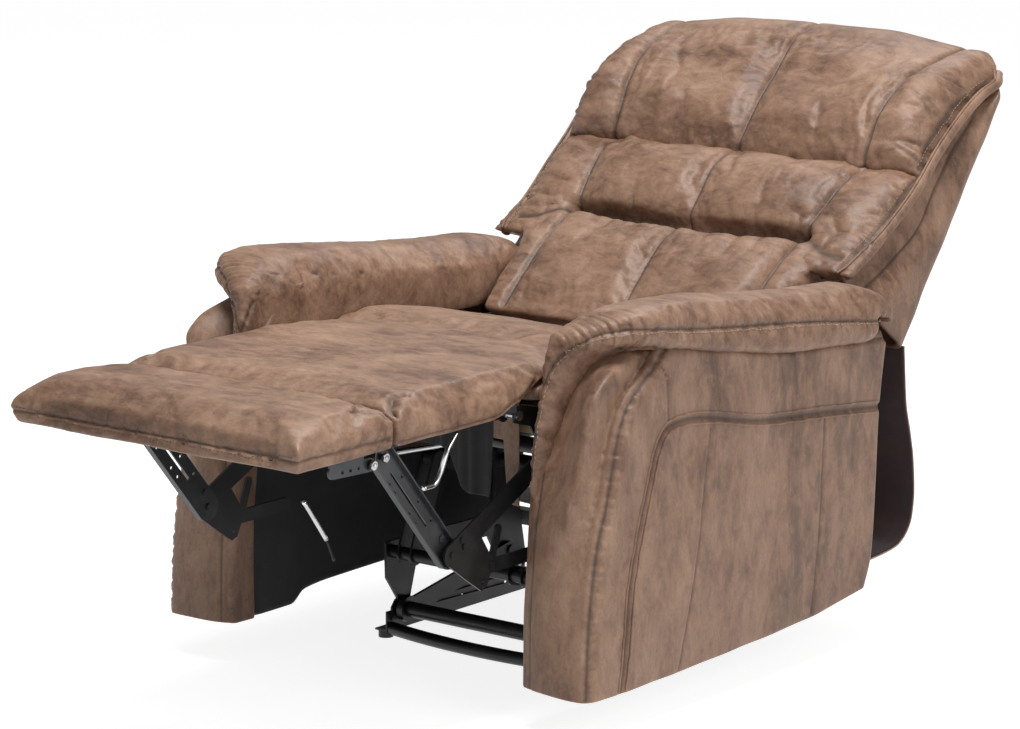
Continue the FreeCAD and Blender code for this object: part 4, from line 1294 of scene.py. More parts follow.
# ---- Seat and footrest ----
@dataclass
class Seat:
    """Seat cushion, the long leg pad that lies over it, and the foot flap's pad."""

    finishes: Finishes
    half: float = 0.287
    board: float = 0.5010         # top of the calf board, with a little air
    height: float = 0.551
    pad_front: float = -0.6505
    pad_rear: float = -0.122
    flap_front: float = -0.877
    flap_rear: float = -0.6560
    seat_front: float = -0.318
    seat_rear: float = 0.226

    def pad_body(self, name: str, y: Array, x: Array, low: Array, high: Array, power: float,
                 under: float = 3.0) -> Piece:
        """A cushion over a grid: its faces close towards the rim as (1 - q^(2 power))^(1/power).

        Args:
            name: the piece's name.
            y: lengthwise places, one row for each grid row.
            x: crosswise places.
            low: underside height.
            high: top height.
            power: how square the top's rim is.
            under: how square the underside's rim is.

        Returns:
            The closed piece.
        """
        rows, cols = y.shape
        u = np.abs(np.linspace(-1, 1, cols))[None, :]
        v = np.abs(np.linspace(-1, 1, rows))[:, None]
        rim, flat = ((1 - u ** (2 * p)) ** (1 / p) * (1 - v ** (2 * p)) ** (1 / p) for p in (power, under))
        middle, half = (low + high) / 2, (high - low) / 2
        return shell_of(name, np.stack([x, y, middle + half * rim], axis=-1),
                        np.stack([x, y, middle - half * flat], axis=-1))

    def leg_pad(self) -> Piece:
        """Long leg pad: a rounded tongue that lies on the seat and fills to full depth in front."""
        u, v = crowded(110, 90)
        rear = self.pad_rear - 0.055 * u ** 2 - 0.115 * np.abs(u) ** 6
        y = self.pad_front + (rear - self.pad_front) * v + 0.0 * u
        x = u * (self.half - 0.004) * (1 - 0.012 * rise_of(y, -0.45, -0.2)) + 0.0 * v
        low = self.underside(y, x)
        high = self.height - 0.005 + 0.003 * (1 - u ** 2) - 0.006 * rise_of(y, -0.30, -0.12)
        piece = self.pad_body("leg_pad", y, x, low, high, 3.0, 7.0)

        def held(points: Array, normals: Array) -> Array:
            """The underside and the front edge beside the flap."""
            return np.maximum(rise_of(-normals[:, 2], 0.5, 0.8), 1 - rise_of(points[:, 1], -0.645, -0.635))

        Stuffing(cap=0.010, pressure=3.0, slack=0.02).fill(piece, held)
        refine(piece)
        crumple(piece, 0.0006, 0.17, 21)
        rim = np.column_stack([np.linspace(-0.645, -0.31, 30), np.full(30, 0.0)])

        def side_chart(points: Array, normals: Array) -> tuple[Array, Array]:
            """Along the pad, and height above its underside, live on the two long sides."""
            floor = self.underside(points[:, 1], points[:, 0]) + 0.008
            live = rise_of(np.abs(normals[:, 0]), 0.3, 0.6)
            return np.column_stack([points[:, 1], points[:, 2] - floor]), live

        sew(piece, [Seam(rim, 0.003, 0.003, 0.0008, 0.022, 0.02, seed=22)], side_chart)
        fold = [Seam(line, 0.008, 0.007, 0.0022, 0.018, 0.022, seed=24) for line in both_sides(
            ((0.276, -0.652), (0.262, -0.640), (0.246, -0.618), (0.252, -0.590)))]
        front = np.column_stack([np.linspace(-0.28, 0.28, 40), np.full(40, self.pad_front - 0.002)])
        sew(piece, fold + [Seam(front, 0.002, 0.01, 0.0012, 0.045, 0.030, seed=23)], self.top_chart)
        return rounded(piece)

    def underside(self, y: Array, x: Array) -> Array:
        """Height of the leg pad's underside: it wraps down round the board and lifts over the seat."""
        wrap = rise_of(np.abs(x), 0.266, 0.270) * (1 - rise_of(y, -0.42, -0.36))
        return self.board + 0.032 * rise_of(y, -0.365, -0.285) - 0.0165 * wrap

    @staticmethod
    def top_chart(points: Array, normals: Array) -> tuple[Array, Array]:
        """Map of a cushion's top: x and y, live where it looks up."""
        return points[:, :2], rise_of(normals[:, 2], 0.2, 0.5)

    def flap_pad(self) -> Piece:
        """Foot flap's pad: a fat roll in front, tight corners and a flat underside."""
        u, v = crowded(60, 110)
        y = self.flap_front + 0.004 + (self.flap_rear - self.flap_front - 0.004) * v + 0.0 * u
        x = u * (self.half - 0.003) + 0.0 * v
        front = self.flap_front
        wrap = np.maximum(rise_of(np.abs(x), 0.262, 0.266), 1 - rise_of(y, front + 0.021, front + 0.027))
        low = 0.4995 - 0.0155 * wrap
        high = 0.547 - 0.011 * (1 - rise_of(y, front, front + 0.070)) + 0.002 * (1 - u ** 2)
        piece = self.pad_body("flap_pad_cover", y, x, low, high, 2.5, 7.0)

        def held(points: Array, normals: Array) -> Array:
            """The underside and the rear edge beside the leg pad."""
            return np.maximum(rise_of(-normals[:, 2], 0.5, 0.8), rise_of(points[:, 1], -0.672, -0.662))

        Stuffing(cap=0.009, pressure=3.0, slack=0.03).fill(piece, held)
        refine(piece)
        points = points_of(piece)
        for sign in (-1, 1):
            corner = np.array([sign * self.half, self.flap_front, 0.512])
            near = np.exp(-(np.linalg.norm((points - corner) * (1, 1, 1.4), axis=1) / 0.024) ** 2)
            points += near[:, None] * np.array([sign * 0.008, -0.007, -0.001])
        put_points(piece, points)
        crumple(piece, 0.0006, 0.14, 26)

        def front_chart(points: Array, normals: Array) -> tuple[Array, Array]:
            """Across and height, live on the front and the ends."""
            across = points[:, 0] + np.sign(points[:, 0]) * (points[:, 1] - self.flap_front)
            live = rise_of(-normals[:, 1] + np.abs(normals[:, 0]), 0.3, 0.6)
            return np.column_stack([across, points[:, 2]]), live

        seam = np.column_stack([np.linspace(-0.5, 0.5, 60), np.full(60, 0.5045)])
        sew(piece, [Seam(seam, 0.0036, 0.003, 0.0030, 0.026, 0.034, seed=27)], front_chart)
        rear = np.column_stack([np.linspace(-0.28, 0.28, 40), np.full(40, self.flap_rear + 0.002)])
        fold = [Seam(line, 0.008, 0.007, 0.0020, 0.018, 0.020, seed=28) for line in both_sides(
            ((0.284, -0.660), (0.268, -0.672), (0.250, -0.694), (0.256, -0.718)))]
        sew(piece, fold + [Seam(rear, 0.002, 0.01, 0.0012, 0.05, 0.03, seed=29)], self.top_chart)
        return rounded(piece)

    def cushion(self) -> Piece:
        """Seat cushion: level under the leg pad and sloping down to the back."""
        u, v = crowded(90, 80)
        y = self.seat_front + (self.seat_rear - self.seat_front) * v + 0.0 * u
        x = u * (self.half - 0.002) + 0.0 * v
        low = 0.4905 - 0.0915 * (y + 0.293) + 0.002
        knots = ((-0.32, 0.526), (-0.2, 0.529), (-0.12, 0.538), (-0.06, 0.540), (0.08, 0.514), (0.20, 0.478),
                 (0.23, 0.466))
        high = through(knots, y) + 0.004 * (1 - u ** 2)
        piece = self.pad_body("seat_cushion_cover", y, x, low, high, 3.0)
        Stuffing(cap=0.006, pressure=2.0, voxel=0.008).fill(
            piece, lambda p, n: np.maximum(rise_of(-n[:, 2], 0.4, 0.7), 1 - rise_of(p[:, 1], -0.15, -0.12)))
        crumple(piece, 0.0015, 0.15, 31)
        return rounded(piece)

    def curtain(self) -> None:
        """Black cloth that hangs in front of the seat's rail, with a leather strip sewn to each end.

        Its lower edge arches up in the middle, and beside each strip a slit leaves room for a wire stay.
        """
        rows, cols = 50, 130
        x = np.linspace(-0.249, 0.249, cols)[None, :]
        v = np.linspace(0, 1, rows)[:, None]
        out, top, slit_top = np.abs(x), 0.503, 0.432
        low = 0.3365 + 0.068 * (1 - rise_of(out, 0.095, 0.145)) - 0.006 * rise_of(out, 0.2, 0.249)
        slit = rise_of(out, 0.190, 0.194) * (1 - rise_of(out, 0.220, 0.224))
        low = low + (slit_top - low) * slit
        z = top + (low - top) * v
        folds = 0.0030 * ripple(x[0], 0.030, 33)[None, :] * rise_of(v, 0.0, 0.7) * rise_of(-out, -0.2, -0.17)
        y = -0.3185 - 0.002 * rise_of(out, 0.195, 0.2) + folds
        face = np.stack([x + 0.0 * v, y + 0.0 * z, z], axis=-1)
        piece = piece_from("seat_curtain", face, grid_faces(rows, cols))
        dress(piece, self.finishes.dust, self.finishes.side)
        ends = np.abs((x[0, 1:] + x[0, :-1]) / 2) > 0.199
        piece.data.polygons.foreach_set("material_index", np.tile(ends, rows - 1).astype(np.int32))
        thicken(piece, CLOTH)
        rounded(mounted(piece, Body.CHASSIS))

    def trim(self) -> None:
        """Stitch row along the flap's front."""
        flap = Skin(bpy.data.objects["flap_pad_cover"])
        line = np.column_stack([np.linspace(-0.278, 0.278, 200), np.full(200, self.flap_front - 0.01),
                                np.full(200, 0.5095)])
        path, normals = flap.lay(line, 0.0002)
        row = dress(stitches("flap_stitch", path, normals, 0.007, 0.0005), self.finishes.dark_thread)
        mounted(row, Body.FLAP)

    def build(self) -> None:
        """Makes the seat's and footrest's pads, the curtain and the flap's stitches, and mounts all but the
        leg pad.
        """
        cushion = dress(self.cushion(), self.finishes.top)
        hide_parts("seat_cushion", "seat_front_pad")
        mounted(cushion, Body.CHASSIS)
        leg = dress(self.leg_pad(), self.finishes.top)
        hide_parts("calf_pad")
        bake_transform(leg)
        flap = dress(self.flap_pad(), self.finishes.top)
        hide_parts("flap_pad")
        mounted(flap, Body.FLAP)
        self.curtain()
        self.trim()


# ---- Arms ----
@dataclass
class Arm:
    """One arm: the cover of its side and front, the top pad with its nose, the lining, welts and threads.

    Everything is drawn for the left arm and mirrored by sign.
    """

    finishes: Finishes
    side: Side
    inner: float = 0.296
    outer: float = 0.4385
    front_edge: float = 0.4125    # where the front turns into its outer corner
    foot: float = 0.063           # height of the cover's lower and upper edges in front
    top: float = 0.600
    turn: float = 0.012           # radius of the inner corners
    bend: float = 0.014           # radius of the rear corner
    padding: float = 0.008        # the cover's thickness
    lining_top: float = 0.478     # height where the lining and the rear return end
    inner_line: Knots = ((0.06, -0.378), (0.171, -0.376), (0.264, -0.368), (0.356, -0.359), (0.418, -0.347),
                         (0.50, -0.322), (0.56, -0.290), (0.60, -0.255))
    corner_line: Knots = ((0.06, -0.392), (0.146, -0.387), (0.230, -0.376), (0.305, -0.361), (0.355, -0.343),
                          (0.454, -0.318), (0.488, -0.303), (0.517, -0.281), (0.548, -0.242), (0.578, -0.205),
                          (0.60, -0.185))
    rear_line: Knots = ((0.09, 0.357), (0.152, 0.379), (0.279, 0.388), (0.390, 0.396), (0.50, 0.412))
    hem: Knots = ((-0.39, 0.064), (-0.288, 0.062), (0.213, 0.078), (0.386, 0.097))
    shoulder: Knots = ((-0.32, 0.588), (-0.233, 0.585), (-0.078, 0.565), (0.12, 0.530), (0.284, 0.516),
                       (0.41, 0.507))
    ridge: Sequence[tuple[float, float]] = ((0.424, 0.530), (0.424, 0.562), (0.404, 0.583), (0.353, 0.596),
                                            (0.244, 0.601), (0.083, 0.616), (-0.074, 0.635), (-0.150, 0.641),
                                            (-0.215, 0.643), (-0.262, 0.639), (-0.294, 0.627),
                                            (-0.315, 0.604), (-0.325, 0.574), (-0.332, 0.545),
                                            (-0.342, 0.505), (-0.352, 0.465), (-0.359, 0.425),
                                            (-0.360, 0.390), (-0.356, 0.355))
    nose_width: Knots = ((0.35, 0.322), (0.40, 0.327), (0.45, 0.334), (0.49, 0.343), (0.52, 0.352),
                         (0.55, 0.364), (0.570, 0.378), (0.585, 0.408), (0.60, 0.434), (0.62, 0.4465))
    lobe: Knots = ((0.20, 0.010), (0.28, 0.013), (0.355, 0.028), (0.454, 0.042), (0.50, 0.056), (0.53, 0.070),
                   (0.55, 0.066), (0.57, 0.038), (0.585, 0.010), (0.60, 0.000))

    @property
    def sign(self) -> int:
        """The arm's sign along X."""
        return self.side.value

    def turned(self, points: Array) -> Array:
        """The points on this arm's own side."""
        return points * np.array([self.sign, 1.0, 1.0])

    def cover(self) -> Piece:
        """Side, front, rear and both inner returns, as one stretched cover.

        Returns:
            The padded piece.
        """
        share = np.linspace(0, 1, 88)[:, None]
        face = np.concatenate([self.front_face(share), self.side_face(share), self.rear_face(share)], axis=1)
        hidden = face.copy()
        hidden[..., :2] -= self.padding * right_of(face[..., :2])
        piece = shell_of(f"arm_cover_{self.side.word}", self.turned(face), self.turned(hidden))
        refine(piece)
        crumple(piece, 0.0009, 0.18, 70)
        for seams, chart in ((self.side_seams(), self.side_chart), (self.front_seams(), self.front_chart)):
            sew(piece, seams, chart)
        return rounded(piece)

    def front_face(self, share: Array) -> Array:
        """The cover's inner return, its inner corner, the front and the outer corner.

        The plan at each height turns the inner corner on a quarter circle, crosses the front with a bulge of
        the form sin(pi w^k)^p, which grows to a lobe under the pad, and turns the outer corner on a quarter
        ellipse.

        Args:
            share: shares of the height, in a column.

        Returns:
            A grid of points.
        """
        inner, edge, turn = self.inner - 0.0005, self.front_edge, self.turn
        heights = self.foot + (self.top - self.foot) * share
        near = through(self.inner_line, heights) + 0.010 * rise_of(heights, 0.40, 0.47)
        far = through(self.corner_line, heights)
        behind, w = np.linspace(1, 0, 8)[None, :], np.linspace(0, 1, 30)[None, :]
        upper = rise_of(heights, 0.28, 0.42)
        bulge = np.sin(math.pi * w ** (0.9 + 1.5 * upper)) ** (0.8 + 0.5 * upper)
        swell = through(self.lobe, heights) * bulge
        x, y = stretches(share, (
            (inner + 0.0 * behind, near + turn + 0.040 * behind),
            (inner + turn * (1 - np.cos(QUARTER)), near + turn * (1 - np.sin(QUARTER))),
            (inner + turn + (edge - inner - turn) * w + 0.4 * upper * swell,
             near + (far - near) * w ** 1.5 - swell),
            (edge + (self.outer - edge) * np.sin(QUARTER), far + 0.030 * (1 - np.cos(QUARTER)))))
        return np.stack([x, y, heights + 0.0 * x], axis=-1)

    def side_face(self, share: Array) -> Array:
        """The cover's outer side: slightly full in the middle, and drawn in at its upper edge.

        Args:
            share: shares of the height, in a column.

        Returns:
            A grid of points.
        """
        a = np.linspace(0, 1, 112)[None, 1:]
        low, high = through(self.hem, -0.36 + 0.72 * a), through(self.shoulder, -0.17 + 0.56 * a) + 0.012
        high = high + (self.top - high) * (1 - rise_of(a, 0.0, 0.06))
        z = low + (high - low) * share
        ahead, behind = through(self.corner_line, z) + 0.030, through(self.rear_line, z) - self.bend
        full = 0.005 * np.sin(math.pi * a) * np.sin(math.pi * share) ** 0.5
        x = self.outer + full - 0.008 * rise_of(share, 0.972, 1)
        return np.stack([x, ahead + (behind - ahead) * a, z], axis=-1)

    def rear_face(self, share: Array) -> Array:
        """The cover's rear corner, its rear and the return inside, which ends lower.

        Args:
            share: shares of the height, in a column.

        Returns:
            A grid of points.
        """
        inner, outer, turn, bend = self.inner - 0.0005, self.outer, self.turn, self.bend
        x, step = stretches(share, (
            (outer - bend + bend * np.cos(QUARTER), bend * np.sin(QUARTER)),
            (np.linspace(outer - bend, inner + turn, 18)[None, 1:], np.full((1, 17), bend)),
            (inner + turn - turn * np.sin(QUARTER), bend - turn * (1 - np.cos(QUARTER))),
            (np.full((1, 16), inner), 0.002 - 0.105 * np.linspace(0, 1, 16)[None, :])))
        low = through(self.hem, np.full((1, 1), 0.36))
        z = low + (np.where(step < 0.0, self.lining_top, 0.500) - low) * share
        return np.stack([x, through(self.rear_line, z) - bend + step, z], axis=-1)

    def side_chart(self, points: Array, normals: Array) -> tuple[Array, Array]:
        """Map of the side: y and z, live where it looks outwards."""
        return points[:, 1:], rise_of(self.sign * normals[:, 0], 0.25, 0.6)

    def front_chart(self, points: Array, normals: Array) -> tuple[Array, Array]:
        """Map of the front: x and z, live where it looks forward."""
        return np.column_stack([self.sign * points[:, 0], points[:, 2]]), rise_of(-normals[:, 1], 0.3, 0.7)

    def corner_seam(self) -> Array:
        """Gathered seam that joins the front panel to the side."""
        line = np.array(self.corner_line)
        return even_line(np.column_stack([line[:, 1] + 0.006, line[:, 0]]), 90)

    def pocket_seam(self) -> Array:
        """Seam with two welts, up the front of the side panel and back along it."""
        return even_line([(-0.308, 0.064), (-0.297, 0.128), (-0.287, 0.214), (-0.276, 0.262), (-0.258, 0.328),
                          (-0.241, 0.375), (-0.229, 0.412), (-0.214, 0.442), (-0.188, 0.462), (-0.150, 0.464),
                          (0.063, 0.428), (0.226, 0.413), (0.397, 0.393)], 90)

    def side_seams(self) -> list[Seam]:
        """Seams on the arm's outer face."""
        along = np.linspace(-0.25, 0.40, 50)
        shoulder = np.column_stack([along, through(self.shoulder, along)])
        front = even_line([(-0.086, 0.440), (-0.100, 0.367), (-0.122, 0.231), (-0.161, 0.069)], 30)
        rear = even_line([(0.226, 0.405), (0.214, 0.214), (0.196, 0.085)], 30)
        short = even_line([(-0.219, 0.577), (-0.196, 0.523), (-0.193, 0.470)], 20)
        return [Seam(self.corner_seam(), 0.0034, 0.004, 0.0046, 0.0095, 0.014, seed=71),
                Seam(self.pocket_seam(), 0.0040, 0.006, 0.0008, 0.03, 0.018, seed=72),
                Seam(shoulder, 0.004, 0.005, 0.0008, 0.03, 0.02, seed=73),
                Seam(front, 0.002, 0.003, 0.0005, 0.03, 0.02, seed=74),
                Seam(rear, 0.002, 0.003, 0.0005, 0.03, 0.02, seed=75),
                Seam(short, 0.002, 0.003, seed=76)]

    def front_seams(self) -> list[Seam]:
        """The front panel's own seam, near its inner corner."""
        return [Seam(even_line([(0.318, 0.06), (0.318, 0.25), (0.320, 0.40)], 20), 0.0015, 0.003, seed=77)]

    def pad(self) -> Piece:
        """Top pad: rings carried along the ridge line, over the nose and down its drape.

        Each ring is a rounded rectangle |a|^p + |b|^p = 1 that hangs from the ridge, as wide as the pad is
        there.

        Returns:
            The padded piece.
        """
        path = even_line(self.ridge, 120)
        into = left_of(path)
        y, z = (path + 0.005 * into).T
        nose = rise_of(-y, 0.23, 0.315)
        drape = rise_of(-z, -0.575, -0.35) * rise_of(-y, 0.26, 0.32)
        outer = np.where(y > -0.25, 0.4465, through(self.nose_width, z))
        inner = 0.301 - 0.002 * drape
        depth = (z - through(self.shoulder, y) + 0.008) * (1 - nose) + (0.052 - 0.020 * drape) * nose
        depth = depth * rise_of(np.linspace(0, 1, 120), -0.02, 0.05) ** 0.5
        columns = (y, z, nose, drape, outer, inner, depth)
        y, z, nose, drape, outer, inner, depth = (q[:, None] for q in columns)
        turn = np.linspace(0, 2 * math.pi, 56, endpoint=False)[None, :]
        a, b = squared_circle(turn, 2 / (3.2 - 0.4 * nose + 2.6 * (np.sin(turn) < 0) * (1 - nose)))
        x = (outer + inner) / 2 + (outer - inner) / 2 * a
        tilt = nose * ((0.034 - 0.010 * drape) * a + 0.015 * np.abs(a) ** 4)
        lift = 0.008 * a * (rise_of(-y, 0.05, 0.20) * (1 - drape))
        drop = depth / 2 * (1 - b)
        rings = np.stack([x, y + into[:, :1] * drop + tilt, z + into[:, 1:] * drop + lift], axis=-1)
        roll = closed_loft("roll", self.turned(rings))
        piece = joined(f"arm_pad_cover_{self.side.word}", [roll, self.apron()])
        Stuffing(voxel=0.0055, cap=0.008, pressure=3.0, slack=0.02).fill(piece, self.held, smooth=10)
        refine(piece)
        crumple(piece, 0.0009, 0.15, 80)
        pulls = even_line([(-0.21, 0.586), (-0.25, 0.590), (-0.29, 0.588)], 20)
        sew(piece, [Seam(self.top_stitch_line(), 0.0036, 0.0038, 0.0042, 0.0135, 0.024, 0.001, seed=81),
                    Seam(pulls, 0.001, 0.004, 0.0046, 0.013, 0.034, seed=82)], self.nose_chart)
        return rounded(piece)

    def apron(self) -> Piece:
        """Inner side of the pad, which hangs down beside the seat."""
        y = np.linspace(-0.322, 0.372, 60)[:, None]
        turn = np.linspace(0, 2 * math.pi, 32, endpoint=False)[None, :]
        a, b = squared_circle(turn, 0.5)
        top, low = through([(p, q - 0.03) for p, q in reversed(self.ridge[3:10])], y), 0.492
        x = 0.3035 + 0.009 * a + 0.010 * (1 - rise_of(y, -0.322, -0.24))
        z = (top + low) / 2 + (top - low) / 2 * b
        return closed_loft("apron", self.turned(np.stack([x + 0.0 * y, y + 0.0 * a, z], axis=-1)))

    def held(self, points: Array, normals: Array) -> Array:
        """Holds the underside, and the inner side below the roll."""
        grip = rise_of(-normals[:, 2], 0.3, 0.6) * rise_of(points[:, 1], -0.29, -0.26)
        inside = rise_of(-self.sign * normals[:, 0], 0.4, 0.7) * (1 - rise_of(points[:, 2], 0.55, 0.59))
        hidden = rise_of(normals[:, 1], 0.3, 0.6) * (1 - rise_of(points[:, 1], -0.25, -0.22))
        return np.maximum(np.maximum(grip, inside), hidden)

    def nose_chart(self, points: Array, normals: Array) -> tuple[Array, Array]:
        """Map that unrolls the pad's side and nose: (y, z), where round the nose x takes y's place."""
        x, y, z = self.sign * points[:, 0], points[:, 1], points[:, 2]
        live = np.maximum(rise_of(self.sign * normals[:, 0], 0.1, 0.4), rise_of(-normals[:, 1], 0.05, 0.35))
        return np.column_stack([y - (0.45 - x) * rise_of(-y, 0.22, 0.36), z]), live

    def top_stitch_places(self) -> Array:
        """Places of the long stitch line: along the outer side, round the nose and down its front."""
        return even_line([(0.452, 0.40, 0.536), (0.453, 0.19, 0.566), (0.453, -0.02, 0.590),
                          (0.453, -0.147, 0.606), (0.452, -0.235, 0.619), (0.445, -0.272, 0.621),
                          (0.410, -0.298, 0.616), (0.388, -0.308, 0.610), (0.370, -0.315, 0.600),
                          (0.354, -0.322, 0.590), (0.340, -0.332, 0.577), (0.330, -0.340, 0.558),
                          (0.322, -0.348, 0.535), (0.318, -0.358, 0.50), (0.315, -0.368, 0.45),
                          (0.313, -0.372, 0.39)], 160)

    def top_stitch_line(self) -> Array:
        """The stitch line on the pad's map."""
        place = self.top_stitch_places()
        return self.nose_chart(self.turned(place), np.zeros_like(place))[0]

    def lining(self) -> Piece:
        """Black cloth over the arm's inner face, stretched from the front corner to the rear return."""
        cols, rows = 90, 60
        v = np.linspace(0, 1, rows)[:, None]
        low_line = ((-0.345, 0.068), (-0.239, 0.069), (-0.205, 0.089), (-0.146, 0.094), (0.2755, 0.100))
        u = np.linspace(0, 1, cols)[None, :]
        start = through(self.inner_line, 0.08 + (self.lining_top - 0.08) * v) + 0.038
        y = start + (0.296 - start) * u
        low = through(low_line, y)
        z = low + (self.lining_top - low) * v
        slack = 0.0010 * ripple(y * 0.8 + z * 0.3, 0.09, 91) * np.sin(math.pi * v) * np.sin(math.pi * u)
        under = 0.0030 * (1 - rise_of(y - start, 0.010, 0.026))
        face = np.stack([self.inner - 0.0012 + slack + under, y, z], axis=-1)
        piece = piece_from(f"arm_lining_cloth_{self.side.word}", self.turned(face), grid_faces(rows, cols))
        thicken(piece, CLOTH)
        return rounded(piece)

    def welts(self) -> list[Piece]:
        """Twin welts on the pocket seam, and the pad's thread row."""
        cover = Skin(bpy.data.objects[f"arm_cover_{self.side.word}"])
        pad = Skin(bpy.data.objects[f"arm_pad_cover_{self.side.word}"])
        word, made = self.side.word, []
        line = self.pocket_seam()
        for i, shift in enumerate((-0.0045, 0.0045)):
            flat = line + shift * left_of(line)
            flat = flat[flat[:, 0] < 0.392]
            spot = self.turned(np.column_stack([np.full(len(flat), self.outer + 0.02), flat]))
            path, _ = cover.lay(spot, 0.0004)
            made.append(dress(sweep(f"arm_welt_{word}_{i}", path, 0.0019, 8), self.finishes.side))
        spot = self.turned(self.top_stitch_places())
        path, normals = pad.lay(spot, 0.0002)
        made.append(dress(stitches(f"arm_stitch_{word}", path, normals, 0.008, 0.0006), self.finishes.thread))
        return made

    def build(self) -> None:
        """Makes and mounts every piece of the arm."""
        word = self.side.word
        cover = dress(self.cover(), self.finishes.side)
        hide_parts(f"arm_side_{word}", f"arm_front_{word}")
        mounted(cover, Body.CHASSIS)
        pad = dress(self.pad(), self.finishes.top)
        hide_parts(f"arm_pad_{word}")
        mounted(pad, Body.CHASSIS)
        lining = dress(self.lining(), self.finishes.dust)
        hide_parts(f"arm_lining_{word}")
        mounted(lining, Body.CHASSIS)
        for piece in self.welts():
            mounted(piece, Body.CHASSIS)


# ---- Rear flap ----
@dataclass
class RearFlap:
    """Flap that hangs from the back's lower edge, bulges behind the chair and tucks under to the rear bar."""

    finishes: Finishes
    half: float = 0.380
    route: Sequence[tuple[float, float]] = ((0.545, 0.462), (0.550, 0.411), (0.556, 0.362), (0.571, 0.309),
                                            (0.582, 0.258), (0.586, 0.207), (0.580, 0.164), (0.562, 0.137),
                                            (0.537, 0.123), (0.497, 0.117), (0.425, 0.113), (0.3535, 0.110))

    def build(self) -> None:
        """Makes the cloth with its lining, hem thread and place between seat and back."""
        rows, cols = 90, 120
        path = even_line(self.route, rows)
        u = np.linspace(-1, 1, cols)[None, :]
        y, z = path[:, :1], path[:, 1:]
        narrow = 0.091 * (1 - rise_of(y, 0.415, 0.432))
        x = u * (self.half - narrow)
        length = np.linspace(0, 1, rows)[:, None]
        sway = 0.004 * ripple(u[0] * 0.38, 0.24, 95)[None, :] * np.sin(math.pi * length)
        edge = 0.006 * np.abs(u) ** 10 * np.sin(math.pi * length)
        face = np.stack([x, y + sway - edge, z + 0.0 * u], axis=-1)
        piece = piece_from("rear_flap_cloth", face, grid_faces(rows, cols))
        dress(piece, self.finishes.side, self.finishes.lining)
        thicken(piece, 0.003, material_offset=1, material_offset_rim=0)
        rounded(piece)
        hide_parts("rear_flap")
        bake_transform(piece)
        skin = Skin(piece)
        place = even_line(self.route, 120)[6:92]
        for sign in (-1, 1):
            line = np.column_stack([np.full(len(place), sign * (self.half - 0.010)), place[:, 0] + 0.004,
                                    place[:, 1]])
            path, normals = skin.lay(line, 0.0002)
            thread = dress(stitches(f"rear_flap_stitch_{Side(sign).word}", path, normals),
                           self.finishes.thread)
            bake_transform(thread)


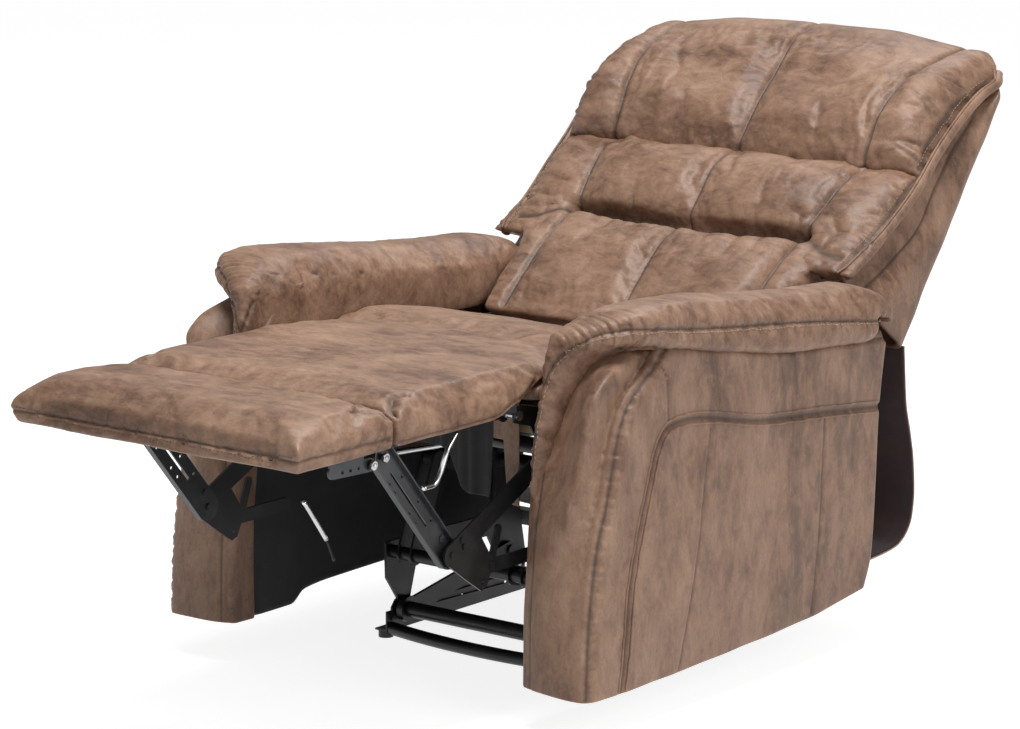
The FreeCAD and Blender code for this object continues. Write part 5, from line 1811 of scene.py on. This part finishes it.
# ---- Metalwork ----
@dataclass
class Metalwork:
    """Finishes of the frame that shows, and its small parts: nuts, the assist tube and the wire stays."""

    finishes: Finishes

    def paint(self) -> None:
        """Gives every CAD node that stays its finish."""
        f = self.finishes
        groups = ((f.grey, ("channel_links", "flap_brackets")), (f.zinc, ("pivot_pins", "guide_pins")),
                  (f.chrome, ("lift_rod", "recline_rod", "foot_rod")),
                  (f.wire, ("seat_springs", "back_springs")), (f.dust, ("calf_board", "flap_board")),
                  (f.plastic, ("lift_motor", "recline_motor", "foot_motor", "base_feet")),
                  (f.ply,
                   ("arm_frame_left", "arm_frame_right", "back_posts", "back_cross_rails", "seat_rails")))
        special = {name: material for material, names in groups for name in names}
        for name, node in frame["nodes"].items():
            if node.hide_render:
                continue
            material = special.get(name, f.black)
            if not node.material_slots:
                node.data.materials.append(material)
            for slot in node.material_slots:
                slot.material = material

    def nut(self, name: str, centre: Sequence[float], radius: float, height: float, sign: int) -> Piece:
        """A six-sided nut with a domed pin end, on a hinge that turns about X.

        Args:
            name: the piece's name.
            centre: middle of its seat.
            radius: across its corners.
            height: along X.
            sign: which way it stands.

        Returns:
            The piece.
        """
        turn = np.linspace(0, 2 * math.pi, 24, endpoint=False)
        hexagon = radius * math.cos(math.pi / 6) / np.cos((turn + math.pi / 6) % (math.pi / 3) - math.pi / 6)
        steps = ((0.0, hexagon * 0.94), (0.12, hexagon), (0.8, hexagon),
                 (1.0, np.minimum(hexagon, radius * 0.86)), (1.0, np.full(24, radius * 0.5)),
                 (1.45, np.full(24, radius * 0.46)), (1.65, np.full(24, radius * 0.28)))
        rings = [np.column_stack([np.full(24, centre[0] + sign * share * height),
                                  centre[1] + r * np.cos(turn), centre[2] + r * np.sin(turn)])
                 for share, r in steps]
        return rounded(closed_loft(name, np.array(rings)), 30)

    def nuts(self) -> None:
        """Nuts on the footrest's hinges."""
        spots = (("footrest", Body.CHASSIS, 0.2462, 0.004), ("flap", Body.CALF, 0.2630, 0.004),
                 ("channel_link", Body.CALF, 0.2532, 0.003), ("lower_link", Body.CHASSIS, 0.2482, 0.003))
        for joint, body, x, height in spots:
            place = joint_at(joint)
            for side in Side:
                direction = side.value if joint in ("flap", "channel_link") else -side.value
                nut = self.nut(f"nut_{joint}_{side.word}", (side.value * x, place[1], place[2]), 0.0075,
                               height, direction)
                mounted(dress(nut, self.finishes.zinc), body)

    def small_parts(self) -> None:
        """Assist tube with its rod behind the far link, and the bent stays of the seat's front."""
        top, low, tip = (-0.163, -0.355, 0.285), (-0.163, -0.300, 0.211), (-0.163, -0.282, 0.172)
        tube = sweep("assist_tube", even_line([top, low], 12), 0.0045, 14)
        mounted(dress(tube, self.finishes.chrome), Body.CHASSIS)
        rod = sweep("assist_rod", even_line([low, tip], 8), 0.0024, 10)
        mounted(dress(rod, self.finishes.black), Body.CHASSIS)
        hook = even_line([(0.215, -0.430, 0.462), (0.212, -0.452, 0.432), (0.206, -0.457, 0.406),
                          (0.202, -0.472, 0.385), (0.200, -0.492, 0.384)], 40)
        for side in Side:
            stay = sweep(f"wire_stay_{side.word}", hook * np.array([side.value, 1, 1]), 0.0042, 12)
            mounted(dress(stay, self.finishes.chrome), Body.CALF)

    def build(self) -> None:
        """Paints the frame and adds the small parts."""
        self.nuts()
        self.small_parts()
        self.paint()


# ---- Studio ----
@dataclass
class Studio:
    """Plain pale floor, soft lamps and the camera."""

    eye: tuple[float, float, float] = (4.2582, -5.3642, 1.8812)
    heading: float = math.radians(38.609)
    pitch: float = math.radians(11.642)
    lens: float = 152.03

    def floor(self) -> None:
        """A wide white floor that keeps the chair's shadow, and looks white to the camera and in mirrors."""
        reach = 60.0
        corners = np.array([[-reach, -reach, 0], [reach, -reach, 0], [reach, reach, 0], [-reach, reach, 0]],
                           float)
        ground = piece_from("floor", corners - np.array([0, 0, 0.0006]), [[0, 1, 2, 3]])
        b = Bench("floor_white")
        b.wire(Base_Color=(0.86, 0.86, 0.86, 1.0), Roughness=0.9, Specular_IOR_Level=0.1)
        glow = b.node("Emission", {0: (1.0, 1.0, 1.0, 1.0), 1: 1.56})
        rays = b.node("LightPath")
        seen = b.maths("MAXIMUM", rays.outputs["Is Camera Ray"], rays.outputs["Is Glossy Ray"])
        mix = b.node("MixShader",
                     {0: b.maths("MULTIPLY", seen, 0.55), 1: b.shader.outputs[0], 2: glow.outputs[0]})
        output = next(n for n in b.tree.nodes if n.type == "OUTPUT_MATERIAL")
        b.tree.links.new(mix.outputs[0], output.inputs[0])
        dress(ground, b.material)

    def lamps(self) -> None:
        """Three large soft lamps and an even pale world."""
        spots = (("key", (0.5, -0.5, 4.1), 1.4, 146.0), ("fill", (4.2, -0.9, 2.3), 2.4, 76.0),
                 ("rim", (-0.6, 2.6, 3.4), 2.2, 40.0))
        target = Vector((0.0, 0.0, 0.45))
        for name, spot, size, power in spots:
            lamp = bpy.data.lights.new(name, "AREA")
            lamp.energy, lamp.size = power, size
            holder = bpy.data.objects.new(name, lamp)
            holder.location = spot
            holder.rotation_euler = (target - Vector(spot)).to_track_quat("-Z", "Y").to_euler()
            bpy.context.scene.collection.objects.link(holder)
        world = bpy.data.worlds.new("studio")
        world.use_nodes = True
        back = world.node_tree.nodes["Background"]
        back.inputs[0].default_value = (1.0, 1.0, 1.0, 1.0)
        back.inputs[1].default_value = 0.31
        bpy.context.scene.world = world

    def camera(self) -> None:
        """The camera, level and without shift."""
        data = bpy.data.cameras.new("view")
        data.lens, data.sensor_width = self.lens, 36.0
        data.clip_end = 200.0
        holder = bpy.data.objects.new("view", data)
        holder.location = self.eye
        holder.rotation_euler = (math.pi / 2 - self.pitch, 0.0, self.heading)
        bpy.context.scene.collection.objects.link(holder)
        bpy.context.scene.camera = holder

    def build(self) -> None:
        """Sets up the studio."""
        self.floor()
        self.lamps()
        self.camera()
        bpy.context.scene.view_settings.view_transform = "Standard"


def main() -> None:
    """Builds the chair's visible pieces in order."""
    logging.basicConfig(level=logging.INFO, format="%(name)s: %(message)s")
    Studio().build()
    finishes = Finishes()
    Back(finishes).build()
    Seat(finishes).build()
    for side in Side:
        Arm(finishes, side).build()
    RearFlap(finishes).build()
    Metalwork(finishes).build()


if __name__ == "__main__":
    main()
